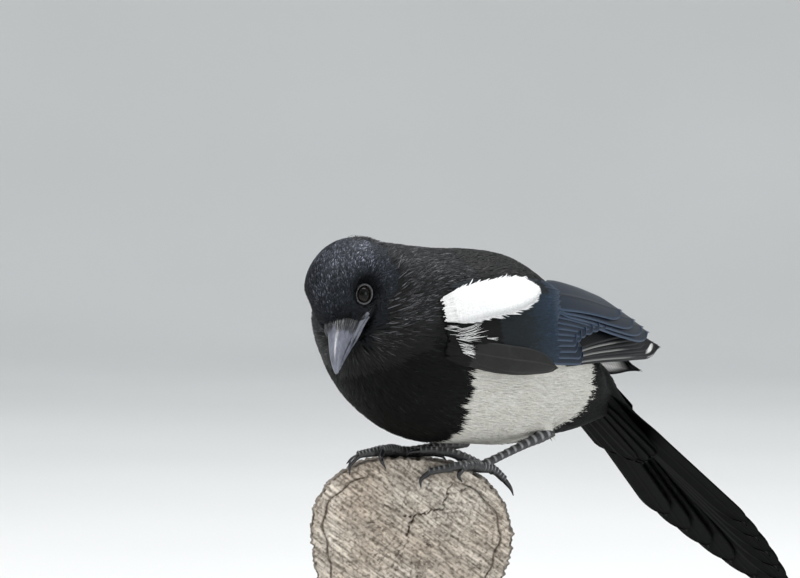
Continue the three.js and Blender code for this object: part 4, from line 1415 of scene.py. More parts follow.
@dataclass
class FoldedWing:
    """A folded wing over its shell. Its rear part bends inward and down by its pose."""

    name: str
    side: int
    droop: float
    inward: float
    bend_start: float = 10.0
    bend_end: float = -120.0
    thickness: float = 0.22
    small_coverts: int = 3800
    patch_feathers: int = 9000
    streaked_feathers: int = 2000
    # How far back the tips lie: the hand's from the lowest up, the arm's by share of its height, the
    # innermost, and the coverts' by turn
    PRIMARY_TIPS = (-121, -124, -118, -108, -97, -86)
    SECONDARY_TIPS = ((0, 0.1, 0.2, 0.3, 0.5, 0.7, 1), (-15, -14, -10, -9, -20, -36, -62))
    INNERMOST_TIPS = (-97, -90, -80, -66)
    COVERT_TIPS = ((3.4, 11, 20, 29, 34), (13, 8, 2, -3, -5))
    # The hand's smooth coverts: place of the tip, turns of root and tip, width, height over the arm
    LEAVES = ((13, -10.5, -8, 8, 4.6), (11.5, -8.5, -7.6, 10.5, 5), (14, -5.2, -7, 12, 5.6))
    # Outline of the white patch: places along the body and turns
    PATCH = (
        (97, 19), (80.5, 27.5), (64, 33.5), (40, 37), (23, 36), (18, 32), (21, 27.5), (26, 24.5),
        (36.5, 21), (50.5, 18.5), (61.5, 16.5), (72, 13.5), (81.5, 10), (91, 8), (97, 8),
    )

    def point(self, along: Array, turn: Array, lift: Array) -> Array:
        """Places of the wing in the bird's frame.

        Args:
            along: place along the body.
            turn: degrees up from level.
            lift: height over the shell.

        Returns:
            Points in the shape of the arguments.
        """
        height, width, depth = SHELL.at(along)
        angle = np.radians(turn)
        bend = np.maximum(0, (self.bend_start - along) / (self.bend_start - self.bend_end)) ** 2
        across = (width + lift) * np.cos(angle) - self.inward * bend
        up = height + (depth + lift) * np.sin(angle) - self.droop * bend
        return np.stack([along + 0 * across, self.side * across, up], axis=-1)

    def arm_top(self, along: Array, turn: Array) -> Array:
        """Height of the arm's outer face over the shell.

        Args:
            along: places along the body.
            turn: degrees up from level.

        Returns:
            One height for each.
        """
        u = np.clip((84 - along) / 80, 0, 1)
        share = smooth(0, 0.6, u)
        low, high = mix(6, -12, share), mix(34, 46, share)
        v = np.clip(2 * (turn - low) / (high - low) - 1, -1, 1)
        return 0.6 + 4.6 * smooth(-0.2, 0.75, u) * np.sqrt(1 - v ** 8)

    def vane(
        self,
        heap: Heap,
        root: tuple[float, float],
        tip: tuple[float, float],
        lift: Lift,
        width: float,
        shape: VaneShape = VaneShape(),
        tilt: float = 1.0,
        camber: float = 0.45,
        rows: int = 18,
        mark: Optional[Surface] = None,
        sweep: float = 0.0,
    ) -> None:
        """Adds a vane from its root to its tip.

        Args:
            heap: where it is added.
            root: place along the body and turn of its root.
            tip: place along the body and turn of its tip.
            lift: height of its middle over the shell, from share, place and turn.
            width: widest width.
            shape: its outline.
            tilt: how far its upper edge tucks inward.
            camber: height of its arch.
            rows: steps along it.
            mark: white share from place along and across.
            sweep: bow of its middle line in degrees.
        """
        u = (1 - np.cos(np.linspace(0, math.pi * 0.96, rows))) / (1 - math.cos(math.pi * 0.96))
        u, v = np.meshgrid(u, ACROSS, indexing="ij")
        along = mix(root[0], tip[0], u - shape.rounding * np.abs(v) * u ** 4)
        turn = mix(root[1], tip[1], u) + sweep * 4 * u * (1 - u)
        shaft = 0.22 * (np.abs(v) < 0.03)
        height = lift(u, along, turn) - tilt * v + camber * (1 - v ** 2) + shaft
        _, girth, _ = SHELL.at(along)
        half = np.degrees(width / 2 * shape.half(u) / (girth + height))
        turn = turn + v * half
        outer = self.point(along, turn, height)
        inner = self.point(along, turn, height - self.thickness)
        points, faces = closed_sheet(outer, inner)
        length = abs(tip[0] - root[0])
        marks = mark(u, v) if mark else np.zeros_like(u)
        values = {
            "across": np.tile(-v.ravel(), 2), "length": np.tile(u.ravel() * length, 2),
            "mark": np.tile(marks.ravel(), 2),
        }
        heap.add(points, faces, values=values)

    def on_arm(self, above: float) -> Lift:
        """Lift of a covert: sunk at its root, then above the arm's outer face."""
        return lambda u, along, turn: self.arm_top(along, turn) - 1.2 + (1.2 + above) * smooth(0, 0.45, u)

    def hand_marks(self, number: int, u: Array, v: Array) -> Array:
        """White on one of the hand's feathers.

        Args:
            number: which of them, the lowest first.
            u: place from root to tip, 0 to 1.
            v: place across, -1 to 1.

        Returns:
            White share at each place.
        """
        edge = smooth(0.1, 0.2, u) * (1 - smooth(0.6, 0.74, u)) * smooth(-0.8, -1.0, v)
        inner = smooth(0.3, 0.4, u) * (1 - smooth(0.89, 0.95, u)) * smooth(-0.6, -0.4, v)
        spot = smooth(0.87, 0.9, u) * (1 - smooth(0.93, 0.96, u)) * (np.abs(v + 0.4) < 0.5)
        marks = (0.4 * edge * (number in (2, 5, 7)), inner * (self.droop > 0), spot * (number in (1, 3)))
        return np.max(marks, axis=0)

    def primaries(self) -> None:
        """The hand's long feathers: narrow pale edges, white inner webs and a few white spots."""
        heap = Heap()
        places = np.interp(np.linspace(0, 5, 9), range(6), self.PRIMARY_TIPS)
        for i, along in enumerate(places):
            k = i * 5 / 8
            self.vane(
                heap, (18, -6 + 0.8 * k), (along, 28 + 2.4 * k), rising(0.8 * k - 0.9, 1.3), 11.5,
                VaneShape(shoulder=0.86), tilt=0.5, rows=30, mark=partial(self.hand_marks, i),
            )
        finish_piece(heap.piece(f"primaries_{self.name}"), Vanes.HAND.value.make(),
                     [f"wing_{self.name}"])

    def secondaries(self) -> None:
        """The arm's flight feathers and the broad innermost ones over them."""
        heap = Heap()
        for s in np.linspace(0, 1, 11):
            reach = float(np.interp(s, *self.SECONDARY_TIPS))
            self.vane(heap, (16, mix(0, 31, s)), (reach, mix(2.5, 32, s)), rising(4.3, 2.3 + 1.2 * s), 12.0,
                      VaneShape(shoulder=0.85), tilt=1.5, rows=20)
        for i, along in enumerate(self.INNERMOST_TIPS):
            k = i * 2 / 3
            lift = rising(4.6 + 0.4 * k, 4.6 + 0.45 * k)
            self.vane(heap, (18, 26.5 + 1.5 * k), (along, 33 + 4 * k), lift, 17, tilt=1.1, rows=20)
        finish_piece(heap.piece(f"secondaries_{self.name}"), Vanes.WING.value.make())

    @staticmethod
    def worn_tip(u: Array, v: Array) -> Array:
        """Pale share of a covert, toward its tip."""
        return 0.3 * smooth(0.8, 1.0, u)

    def arm_coat(self, along: Array, turn: Array) -> Array:
        """Height of the small coverts over the shell."""
        return self.arm_top(along, turn) + 0.6 + 1.6 * smooth(54, 34, along)

    def coverts(self) -> None:
        """Long coverts over the flight feathers' roots, and soft small ones over the arm."""
        heap = Heap()
        rng = np.random.default_rng(41)
        for i in range(13):
            turn = mix(-5, 33.5, i / 12)
            reach = float(np.interp(turn, *self.COVERT_TIPS))
            tip = (reach + rng.uniform(-0.8, 0.8), turn + 1)
            self.vane(heap, (46, turn), tip, self.on_arm(2.0), 8.4, VaneShape(shoulder=0.75), rows=16,
                      camber=0.2, tilt=0.5, mark=self.worn_tip)
        finish_piece(heap.piece(f"coverts_{self.name}"), Vanes.COVERT.value.make())
        count = self.small_coverts
        along, turn = rng.uniform(19, 80, count), rng.uniform(-6, 36, count)
        shade = np.clip(0.12 + 0.6 * smooth(58, 14, along) + rng.normal(0, 0.08, count), 0, 1)
        shade *= 1 - 0.85 * smooth(27, 33, turn)
        tufts = self.scatter(along, turn, self.arm_coat, rng, (9, 13), (1.5, 2.6), 0.6, 0.6, shade)
        piece = mesh_piece(f"lesser_coverts_{self.name}", *tufts)
        finish_piece(piece, Plumage.LESSER.value.make())

    def leaf(self) -> None:
        """Long smooth coverts of the hand along the wing's lower edge."""
        heap = Heap()
        shape = VaneShape(root=0.5, full=0.35, shoulder=0.5, rounding=0.02)
        for tip, low, end, wide, above in self.LEAVES:
            self.vane(heap, (84, low), (tip, end), self.on_arm(above), wide, shape, tilt=0.2, rows=24,
                      camber=0.9, sweep=1.6)
        finish_piece(heap.piece(f"leaf_{self.name}"), Vanes.LEAF.value.make())

    def patch_edges(self, along: Array) -> tuple[Array, Array]:
        """Lowest and highest turn of the white patch at places along the body.

        Args:
            along: where they are read.

        Returns:
            Lowest and highest turns.
        """
        upper = np.array(self.PATCH[:6][::-1], float)
        lower = np.array(self.PATCH[5:], float)
        high = np.interp(along, upper[:, 0], upper[:, 1])
        low = np.interp(along, lower[:, 0], lower[:, 1])
        return low, high

    def patch_lift(self, along: Array, turn: Array) -> Array:
        """Height of the white patch's pad over the shell.

        Args:
            along: places along the body.
            turn: degrees up from level.

        Returns:
            One height for each.
        """
        low, high = self.patch_edges(along)
        v = np.clip((turn - low) / np.maximum(high - low, 1) * 2 - 1, -1, 1)
        u = np.clip((along - 17) / 82, 0, 1)
        bulge = np.sqrt(1 - v ** 4) * (1 - (2 * u - 1) ** 6)
        over = 1 - smooth(83.5, 94.5, along)
        return (self.arm_top(along, turn) + 2.6 + 2.2 * bulge) * over - 3.2 * (1 - over)

    def shoulder(self) -> None:
        """The white patch: a soft pad with small feathers lying back over it."""
        rows, columns = 30, 14
        u, v = np.meshgrid(np.linspace(0, 1, rows), np.linspace(0, 1, columns), indexing="ij")
        along = mix(86.0, 26.0, u)
        low, high = self.patch_edges(along)
        turn = mix(low + 1.2, high - 0.8, v)
        lift = self.patch_lift(along, turn)
        sunk = 0.8 + 3.5 * smooth(78, 86, along)
        outer = self.point(along, turn, lift - sunk)
        inner = self.point(along, turn, np.minimum(lift - sunk - 0.8, 0))
        points, faces = closed_sheet(outer, inner)
        count = len(points)
        # The pad takes the reach of a tuft partway along, and so part of the painted shade toward the roots
        values = {"shade": np.full(count, 0.3), "reach": np.full(count, 0.4)}
        finish = Plumage.SHOULDER.value.make()
        pad = mesh_piece(f"shoulder_pad_{self.name}", points, faces, values=values)
        finish_piece(pad, finish)
        rng = np.random.default_rng(51)
        count = self.patch_feathers
        along = 27 + (60 + 2.5 * rng.random(count)) * rng.random(count)
        share = rng.random(count)
        low, high = self.patch_edges(along)
        turn = mix(low, high, share)
        behind = mix(*self.patch_edges(along - 10), share)
        tufts = self.scatter(along, turn, self.patch_lift, rng, (8, 12), (0.6, 1.0), 0.8, behind - turn)
        piece = mesh_piece(f"coat_shoulder_{self.name}", *tufts)
        finish_piece(piece, finish)

    def below_patch(self, along: Array, turn: Array, raised: float = 0.0) -> Array:
        """Height of the feathers below the white patch over the shell."""
        return self.arm_top(along, turn) + 3.0 * smooth(98, 78, along) - 1.6 + raised

    def streaks(self) -> None:
        """Black feathers with long white hairs that fan back below the white patch."""
        rng = np.random.default_rng(56)
        count = self.streaked_feathers
        along, turn = 62 + 26 * rng.beta(1, 1.4, count), rng.uniform(-14, 12, count)
        below = (turn < self.patch_edges(along)[0] - 1.0) & ((turn > -2) | (along > 82))
        along, turn = along[below], turn[below]
        count = len(along)
        shade = 0.3 * rng.random(count)
        dark = self.scatter(along, turn, self.below_patch, rng, (8, 12), (1.0, 1.6), 0.4, 3.0, shade)
        # Roots, turns, lengths and gained turns of the hairs: the fan, the bands below it, the front, a speck
        a, b = rng.random(22), (rng.integers(0, 6, 24) + 0.5) / 6 + rng.normal(0, 0.02, 24)
        rows = [
            (85 - 7 * rng.random(22), 0.6 + 5 * a * rng.random(22), 9 + 7 * rng.random(22), mix(2.5, 8.5, a)),
            (mix(84, 79, b), mix(0.4, -7.2, b), mix(9.5, 6.5, b) + rng.random(24), 0.8 + 0 * b),
            (90 - 4 * rng.random(8), 1 + 6 * rng.random(8), 4 + 3 * rng.random(8), 2 * rng.random(8)),
            (64 + rng.random(3), 4.2 + 0.4 * rng.random(3), 6 + 2 * rng.random(3), 0.2 * rng.random(3)),
        ]
        along, turn, size, fan = (np.concatenate(column) for column in zip(*rows))
        shade = rng.uniform(0.6, 1.0, len(along))
        over = partial(self.below_patch, raised=1.6)
        pale = self.scatter(along, turn, over, rng, (size, size + 0.5), (0.18, 0.32), 0.8, fan, shade)
        heap = Heap()
        heap.add(*dark)
        heap.add(*pale)
        piece = heap.piece(f"streaked_{self.name}")
        finish_piece(piece, Plumage.STREAK.value.make())

    def scatter(
        self,
        along: Array,
        turn: Array,
        base: Surface,
        rng: Draw,
        length: tuple[float, float],
        width: tuple[float, float],
        rise: float,
        fall: Array,
        shade: Optional[Array] = None,
    ) -> tuple:
        """Tufts that lie back over the wing.

        Args:
            along: roots' places along the body.
            turn: roots' turns.
            base: height of the surface under them.
            rng: the draw.
            length: shortest and longest.
            width: narrowest and widest.
            rise: height of the tips over the surface.
            fall: turn gained from root to tip in degrees.
            shade: shade of each, or None for a draw.

        Returns:
            What mesh_piece takes for the tufts.
        """
        count = len(along)
        size = rng.uniform(*length, count)
        gain = fall + rng.normal(0, 1.3, count)
        spots = []
        for t, up in zip(TUFT_STEPS, (-0.4, 0.5, 0.9, 1.0)):
            place = along - size * t
            where = turn + gain * t
            spots.append(self.point(place, where, base(place, where) + rise * up))
        centre = np.stack(spots, axis=1)
        low = base(along, turn)
        out = unit(self.point(along, turn, low + 1) - self.point(along, turn, low))
        normal = np.repeat(out[:, None], 4, axis=1)
        shades = rng.beta(2, 2, count) if shade is None else shade
        unwrapped = np.stack([(along + 40) / 150, (turn + 30) / 90], axis=1)
        return tuft_mesh(centre, normal, rng.uniform(*width, count), 0.14, shades, unwrapped)

    def build(self) -> None:
        """Builds the wing from its flight feathers out to its shoulder."""
        self.primaries()
        self.secondaries()
        self.coverts()
        self.leaf()
        self.shoulder()
        self.streaks()


@dataclass
class Tail:
    """Twelve graduated tail feathers, the middle pair on top, and the coverts at their root."""

    pairs: int = 6
    longest: float = 236.0
    step: float = 18.5
    width: float = 27.0
    thickness: float = 0.3
    soft_feathers: int = 5200

    def vane(
        self, heap: Heap, length: float, width: float, across: float, fan: float, height: float,
        bend: float = 0.0, rows: int = 34,
    ) -> None:
        """Adds one feather.

        Args:
            heap: where it is added.
            length: from its root to its tip.
            width: widest width.
            across: place of its root to the bird's left.
            fan: degrees that it points to the bird's left.
            height: of its upper face.
            bend: how far its tip rises.
            rows: steps along it.
        """
        u = (1 - np.cos(np.linspace(0, math.pi * 0.97, rows))) / (1 - math.cos(math.pi * 0.97))
        u, v = np.meshgrid(u, ACROSS, indexing="ij")
        x = length * (u - 0.035 * np.abs(v) * u ** 5)
        shape = VaneShape(root=0.4, full=0.3, shoulder=0.86)
        y = across + x * math.sin(math.radians(fan)) + v * width / 2 * shape.half(u)
        z = height + bend * u ** 2 + 0.35 * (1 - v ** 2) + 0.2 * (np.abs(v) < 0.03)
        outer = np.stack([x, y, z], axis=-1)
        inner = outer - [0, 0, self.thickness]
        inner[:, np.abs(ACROSS) < 0.03, 2] -= 0.3
        points, faces = closed_sheet(outer, inner)
        outside = 1.0 if across > 0 else -1.0
        values = {
            "across": np.tile((v * outside).ravel(), 2), "length": np.tile(x.ravel(), 2),
            "mark": np.zeros(2 * v.size),
        }
        heap.add(TAIL.out(points), faces, values=values)

    def build(self) -> None:
        """Builds the fan and its coverts."""
        heap = Heap()
        for pair in range(self.pairs):
            for _, side in SIDES:
                length = self.longest - self.step * pair
                height = 3.4 - 0.6 * (2 * pair + (side < 0))
                self.vane(heap, length, self.width - 1.3 * pair, side * (1.5 + 1.1 * pair),
                          side * (0.5 + 1.6 * pair), height)
        finish_piece(heap.piece("tail_feathers"), Vanes.TAIL.value.make(), ["tail"])
        coverts = Heap()
        for i, place in enumerate(np.linspace(-1.6, 1.6, 9)):
            layer = 0.4 * (i % 2) + 0.3 * (1.6 - abs(place))
            self.vane(coverts, 50 - 7 * abs(place), 11.0, 3.8 * place, 1.5 * place, 4.4 + layer, -0.6, 16)
            self.vane(coverts, 76 - 7 * abs(place), 15.0, 5.75 * place, 3.4 * place, -8.8 - layer, 0.4, 16)
        finish_piece(coverts.piece("tail_coverts"), Vanes.TAIL.value.make())
        self.fluff()

    def fluff(self) -> None:
        """Soft feathers that hide the seam between the body and the tail's coverts."""
        rng = np.random.default_rng(81)
        n = self.soft_feathers
        turn, start = rng.uniform(0, math.tau, n), rng.uniform(-6, 46, n)
        size = rng.uniform(10, 16, n)
        spots = []
        for t, up in zip(TUFT_STEPS, (-0.6, 0.4, 0.7, 0.8)):
            x = start + size * t
            wide = np.interp(x, [-10, 8, 30, 62], [13.5, 14.5, 13.0, 13.0]) + up
            high = np.interp(x, [-10, 6, 26, 62], [11.0, 11.4, 6.6, 5.4]) + up
            y = wide * np.sign(np.cos(turn)) * np.abs(np.cos(turn)) ** 0.8
            spots.append(TAIL.out(np.stack([x, y, -1.4 + high * np.sin(turn)], axis=1)))
        centre = np.stack(spots, axis=1)
        normal = unit(centre - TAIL.out(np.stack([start, 0 * start, 0 * start - 1.4], axis=1))[:, None])
        patch = np.stack([0.02 + 0.15 * turn, (start + 10) / 60], axis=1)
        mesh = tuft_mesh(centre, normal, rng.uniform(0.9, 1.5, n), 0.12, rng.beta(2, 3, n), patch)
        finish_piece(mesh_piece("coat_tail_root", *mesh), Plumage.VENT.value.make())


@dataclass
class Bill:
    """Both halves of the bill, with an arched section and a hooked tip."""

    rings: int = 60
    sides: int = 40
    # Folds from the corner of the mouth forward to the cutting edges, on the bird's left, and their radii
    FOLDS = (
        ((10.9, 14.4, -6.1), (12.8, 12.5, -6.6), (14.8, 10.3, -7.3), (17.0, 8.2, -8.6), (20.0, 6.8, -9.5),
         (25.0, 5.3, -9.5)),
        ((11.6, 13.9, -8.0), (14.6, 10.6, -9.4), (17.4, 7.8, -11.3), (21.0, 5.9, -12.4), (26.0, 4.4, -12.4)),
    )
    FOLD_RADII = ((0.9, 1.25, 1.3, 1.2, 0.5), (0.5, 0.9, 1.0, 0.8, 0.3))

    def half(self, table: Profile, name: str, upper: bool) -> Piece:
        """Models one half.

        Args:
            table: its sizes along the head.
            name: the piece's name.
            upper: whether it is the upper half.

        Returns:
            The object.
        """
        t = np.sin(np.linspace(0, math.pi / 2, self.rings))
        along = mix(table.places[0], table.places[-1], t)
        angle = around(self.sides)
        ridge, edge, width = (column[:, None] for column in table.at(along))
        s = np.sin(angle)[None, :] * (1 if upper else -1)
        flat, crown = (edge, ridge) if upper else (ridge, edge)
        arched = flat + (crown - flat) * (0.12 + 0.88 * np.abs(s) ** 0.8)
        hollow = flat + (crown - flat) * 0.12 * (1 + s)
        height = np.where(s > 0, arched, hollow)
        wide = width * np.sign(np.cos(angle)) * np.abs(np.cos(angle)) ** 0.85
        close = np.sqrt(np.clip((1 - t) / 0.02, 0, 1))[:, None]
        middle = (ridge + edge) / 2
        height = middle + (height - middle) * close
        rings = np.stack([along[:, None] + 0 * wide, wide * close, height], axis=-1)
        points, faces = capped_tube(rings)
        return mesh_piece(name, HEAD.out(points), faces)

    def folds(self, name: str) -> Piece:
        """The horny rims that run back to both corners of the mouth.

        Args:
            name: the piece's name.

        Returns:
            The new object.
        """
        heap = Heap()
        for _, side in SIDES:
            for path, radii in zip(self.FOLDS, self.FOLD_RADII):
                middle = HEAD.out(np.array(path if side > 0 else path[2:]) * [1, side, 1])
                places, along = smooth_path(middle, 40)
                radius = np.interp(np.linspace(0, 1, 40), np.linspace(0, 1, len(radii)), radii)
                out = unit(places - HEAD.out(np.array([[8.0, 0, -9]])))
                across = unit(np.cross(along, out))
                angle = around(14)
                bead = 1 + 0.07 * np.sin(np.arange(40) * 1.9)[:, None]
                wide = (radius[:, None] * bead * np.cos(angle))[..., None] * across[:, None]
                high = 0.55 * (radius[:, None] * np.sin(angle))[..., None] * out[:, None]
                heap.add(*capped_tube(places[:, None] + wide + high))
        return heap.piece(name)

    def finish(self) -> Material:
        """Slate horn, streaked along its length and mottled darker.

        Returns:
            The material.
        """
        shader = Shader(
            "bill_horn", Roughness=0.3, Specular_IOR_Level=0.6, Coat_Weight=0.25, Coat_Roughness=0.2
        )
        streaks = shader.noise(shader.place((1, 1, 0.35)), 700.0, 6.0)
        mottled = shader.noise(shader.place(), 140.0)
        base = shader.ramp(streaks, ((0.3, (0.085, 0.09, 0.115)), (0.75, (0.21, 0.225, 0.285))))
        shader.colour(shader.blend(shader.math("MULTIPLY", mottled, 0.6), base, (0.07, 0.07, 0.085)))
        shader.rough(shader.remap(streaks, (0.0, 1.0), (0.22, 0.42)))
        shader.bump(streaks, 0.25, 0.08)
        return shader.material

    def build(self) -> None:
        """Builds both halves."""
        finish = self.finish()
        finish_piece(self.half(UPPER_BILL, "bill_upper_horn", True), finish, ["bill_upper"])
        finish_piece(self.half(LOWER_BILL, "bill_lower_horn", False), finish, ["bill_lower"])
        finish_piece(self.folds("mouth_folds"), finish)


@dataclass
class Bristles:
    """Stiff hairs from the forehead forward over the root of the bill."""

    count: int = 520
    seed: int = 61
    roots: tuple[float, float] = (8, 15)
    length: tuple[float, float] = (7, 12.5)
    thickness: tuple[float, float] = (0.22, 0.4)

    def build(self) -> None:
        """Grows the hairs along the bill's upper half."""
        rng = np.random.default_rng(self.seed)
        n = self.count
        turn = rng.uniform(-1.45, 1.45, n)
        start = rng.uniform(*self.roots, n)
        size = rng.uniform(*self.length, n) * (0.75 + 0.25 * np.cos(turn))
        over = rng.uniform(0.25, 1.1, n)
        droop = rng.uniform(0.05, 0.3, n) * np.sign(turn)
        spots = []
        for t in TUFT_STEPS:
            along = start + size * t
            ridge, edge, width = UPPER_BILL.at(along)
            lift = mix(1.6, over, smooth(0, 0.8, np.full(n, t)))
            angle = turn + droop * t
            middle = edge + 2.5
            height = middle + (ridge - middle + lift) * np.cos(angle)
            spots.append(HEAD.out(np.stack([along, (width + lift) * np.sin(angle), height], axis=1)))
        centre = np.stack(spots, axis=1)
        axis = HEAD.out(np.array([[15.0, 0, -5]]))[0]
        normal = unit(centre - axis)
        shade = rng.beta(1.4, 1.6, n)
        patch = np.stack([0.1 + 0.8 * (turn + 1.5) / 3, (start - 5) / 12], axis=1)
        mesh = tuft_mesh(centre, normal, rng.uniform(*self.thickness, n), 0.3, shade, patch)
        finish_piece(mesh_piece("nasal_bristles", *mesh), Plumage.BRISTLE.value.make())


@dataclass
class Eyes:
    """Dark wet eyes in leathery lids."""

    rings: int = 28
    sides: int = 48

    def globe(self, side: int, name: str) -> Piece:
        """The eyeball with its cornea, its iris marked on its points.

        Args:
            side: 1 for left, -1 for right.
            name: the piece's name.

        Returns:
            The new object.
        """
        polar = np.linspace(0.02, math.pi - 0.02, self.rings)[:, None]
        angle = around(self.sides)[None, :]
        radius = EYE.radius * (1 + 0.05 * np.exp(-(polar / 0.55) ** 2))
        x = radius * np.sin(polar) * np.cos(angle)
        z = radius * np.sin(polar) * np.sin(angle)
        y = radius * np.cos(polar) + 0 * angle
        rings = EYE.frame(side).out(np.stack([x, y, z], axis=-1))
        points, faces = capped_tube(rings)
        ring = np.concatenate([np.repeat(polar.ravel(), self.sides), [0.0, math.pi]])
        return mesh_piece(name, HEAD.out(points), faces, values={"ring": ring})

    def lids(self, side: int, name: str) -> Piece:
        """The fleshy ring of both lids, with a fold and small beads along its edge.

        Args:
            side: 1 for left, -1 for right.
            name: the piece's name.

        Returns:
            The new object.
        """
        along = around(96)[:, None]
        section = around(14)[None, :]
        bead = 1 + 0.10 * np.sin(along * 30) * (np.cos(section) < 0)
        fold = 1 + 0.16 * np.cos(2 * section)
        thick = 0.66 * bead * fold
        ring = EYE.opening + 0.6 + 0.8 * thick * np.cos(section)
        depth = math.sqrt(EYE.radius ** 2 - EYE.opening ** 2) + 0.05 + 0.85 * thick * np.sin(section)
        depth = depth - 0.25 * (ring - EYE.opening)
        x = ring * np.cos(along) * 1.06
        z = ring * np.sin(along) * 0.94
        points = EYE.frame(side).out(np.stack([x, depth + 0 * x, z], axis=-1)).reshape(-1, 3)
        faces = outward(points, grid_faces(97, 14, closed=True) % (96 * 14))
        return mesh_piece(name, HEAD.out(points), faces)

    def build(self) -> None:
        """Builds both eyes and their lids."""
        eye = Shader("wet_eye", Roughness=0.03, Specular_IOR_Level=0.18)
        iris = eye.ramp(
            eye.math("DIVIDE", eye.value("ring"), math.pi),
            ((0.0, (0.001, 0.001, 0.001)), (0.15, (0.001, 0.001, 0.001)), (0.165, (0.009, 0.006, 0.004)),
             (0.24, (0.006, 0.004, 0.003)), (0.27, (0.003, 0.002, 0.002))),
        )
        eye.colour(iris)
        lid = Shader("lid_leather", Roughness=0.42, Specular_IOR_Level=0.45)
        grain = lid.noise(lid.place(), 1500.0, 3.0)
        lid.colour(lid.ramp(grain, ((0.3, (0.02, 0.02, 0.022)), (0.7, (0.1, 0.1, 0.105)))))
        lid.bump(grain, 0.6, 0.1)
        for word, side in SIDES:
            finish_piece(self.globe(side, f"eyeball_{word}"), eye.material, [f"eye_{word}"])
            finish_piece(self.lids(side, f"lids_{word}"), lid.material)


def smooth_path(points: Array, count: int) -> tuple[Array, Array]:
    """A rounded path through points.

    Args:
        points: what it passes through.
        count: number of places on it.

    Returns:
        Places and directions along it, evenly spaced.
    """
    reach = np.concatenate([[0], np.cumsum(np.linalg.norm(np.diff(points, axis=0), axis=1) ** 0.5)])
    fine = np.linspace(0, reach[-1], 400)
    path = through_stations(reach, points, np.gradient(points, reach, axis=0), fine)
    travelled = np.concatenate([[0], np.cumsum(np.linalg.norm(np.diff(path, axis=0), axis=1))])
    even = np.linspace(0, travelled[-1], count)
    places = np.stack([np.interp(even, travelled, path[:, k]) for k in range(3)], axis=1)
    return places, unit(np.gradient(places, axis=0))


@dataclass
class Legs:
    """Bare scaled legs and feet with horny claws."""

    sides: int = 18
    thick: float = 2.8
    thin: float = 2.05

    def limb(
        self, points: Array, radii: Sequence[float], count: int, scutes: float, up: Array,
        swell: Sequence[float] = (),
    ) -> tuple[Array, Array, Named, Named]:
        """A scaled tube with broad overlapping plates on its upper side.

        Args:
            points: what its middle passes through.
            radii: its radius, read evenly along it.
            count: rings along it.
            scutes: number of plates.
            up: direction of the plated side.
            swell: places along it, from 0 to 1, of the pads beneath.

        Returns:
            Points, triangles, no maps, and values.
        """
        places, along = smooth_path(points, count)
        share = np.linspace(0, 1, count)
        radius = np.interp(share, np.linspace(0, 1, len(radii)), radii)[:, None]
        across = unit(np.cross(along, up))
        top = unit(np.cross(across, along))
        angle = around(self.sides)[None, :]
        upper = smooth(-0.25, 0.35, np.sin(angle))
        phase = (share * scutes)[:, None] % 1.0
        plate = upper * (0.26 * phase - 0.13) * (scutes > 0)
        grain = (1 - upper) * 0.035 * np.sin(5 * angle) * np.sin(share * scutes * 9)[:, None] * (scutes > 0)
        pads = sum((np.exp(-((share - s) / 0.06) ** 2) for s in swell), 0 * share)[:, None]
        size = radius * (1 + plate + grain + 0.22 * pads * (1 - upper))
        ring = (
            places[:, None] + across[:, None] * (size * np.cos(angle))[..., None]
            + top[:, None] * (size * np.sin(angle))[..., None]
        )
        made, faces = capped_tube(ring)
        edge = np.broadcast_to(smooth(0.6, 0.9, phase) * upper, size.shape).ravel()
        return made, faces, {}, {"edge": np.append(edge, [0.0, 0.0])}

    def foot(self, leg: Leg, skin: Material, horn: Material) -> None:
        """One shank, foot and its claws.

        Args:
            leg: its places.
            skin: finish of the shank and toes.
            horn: finish of the claws.
        """
        shank, foot, claws = Heap(), Heap(), Heap()
        heel, pad = above_log([leg.heel, leg.pad])
        beyond = unit((heel - pad)[None])[0]
        forward = np.array([-0.67, -0.74, 0.3])
        radii = [3.2, 3.3, 2.5, 2.2, 2.1, 2.2, 2.6]
        shank.add(*self.limb(np.array([heel + beyond * 3, (heel + pad) / 2, pad]), radii, 90, 11, forward))
        for toe, claw in zip(leg.toes, leg.claws):
            knuckles = above_log([leg.pad, *toe])
            x, y, _ = unit(knuckles[-1:] - knuckles[:1])[0]
            up = np.array([0.3 * y, -0.3 * x, 1.0])
            joints = [k / len(toe) for k in range(1, len(toe))]
            radii = [self.thick * 1.15, self.thick, self.thin * 1.15, self.thin, self.thin * 0.95]
            foot.add(*self.limb(knuckles, radii, 64, 4.0 * len(toe), up, joints))
            root, tip = knuckles[-1], above_log([claw])[0]
            ahead = unit((knuckles[-1] - knuckles[-2])[None])[0]
            line = np.array([root - ahead * 1.6, mix(root, tip, 0.45) + 2.2 * ahead, tip])
            claws.add(*self.limb(line, [1.5, 1.45, 1.2, 0.75, 0.22], 24, 0, up))
        side = leg.side
        finish_piece(shank.piece(f"shank_{side}_scaled", TRUNK), skin, [f"shank_{side}"])
        finish_piece(foot.piece(f"foot_{side}_scaled", TRUNK), skin, [f"foot_{side}"])
        finish_piece(claws.piece(f"claws_{side}", TRUNK), horn)

    def build(self) -> None:
        """Builds both legs with their finishes."""
        skin = Shader("leg_skin", Roughness=0.45, Specular_IOR_Level=0.5)
        grain = skin.noise(skin.place(), 1100.0, 3.0)
        dark = skin.ramp(grain, ((0.3, (0.018, 0.018, 0.019)), (0.8, (0.05, 0.05, 0.052))))
        skin.colour(skin.blend(skin.math("MULTIPLY", skin.value("edge"), 0.85), dark, (0.36, 0.36, 0.365)))
        skin.bump(grain, 0.5, 0.12)
        horn = Shader("claw_horn", Roughness=0.25, Specular_IOR_Level=0.55)
        streaks = horn.noise(horn.place(), 900.0)
        horn.colour(horn.ramp(streaks, ((0.3, (0.006, 0.006, 0.007)), (0.8, (0.02, 0.02, 0.022)))))
        for leg in LEGS:
            self.foot(leg, skin.material, horn.material)


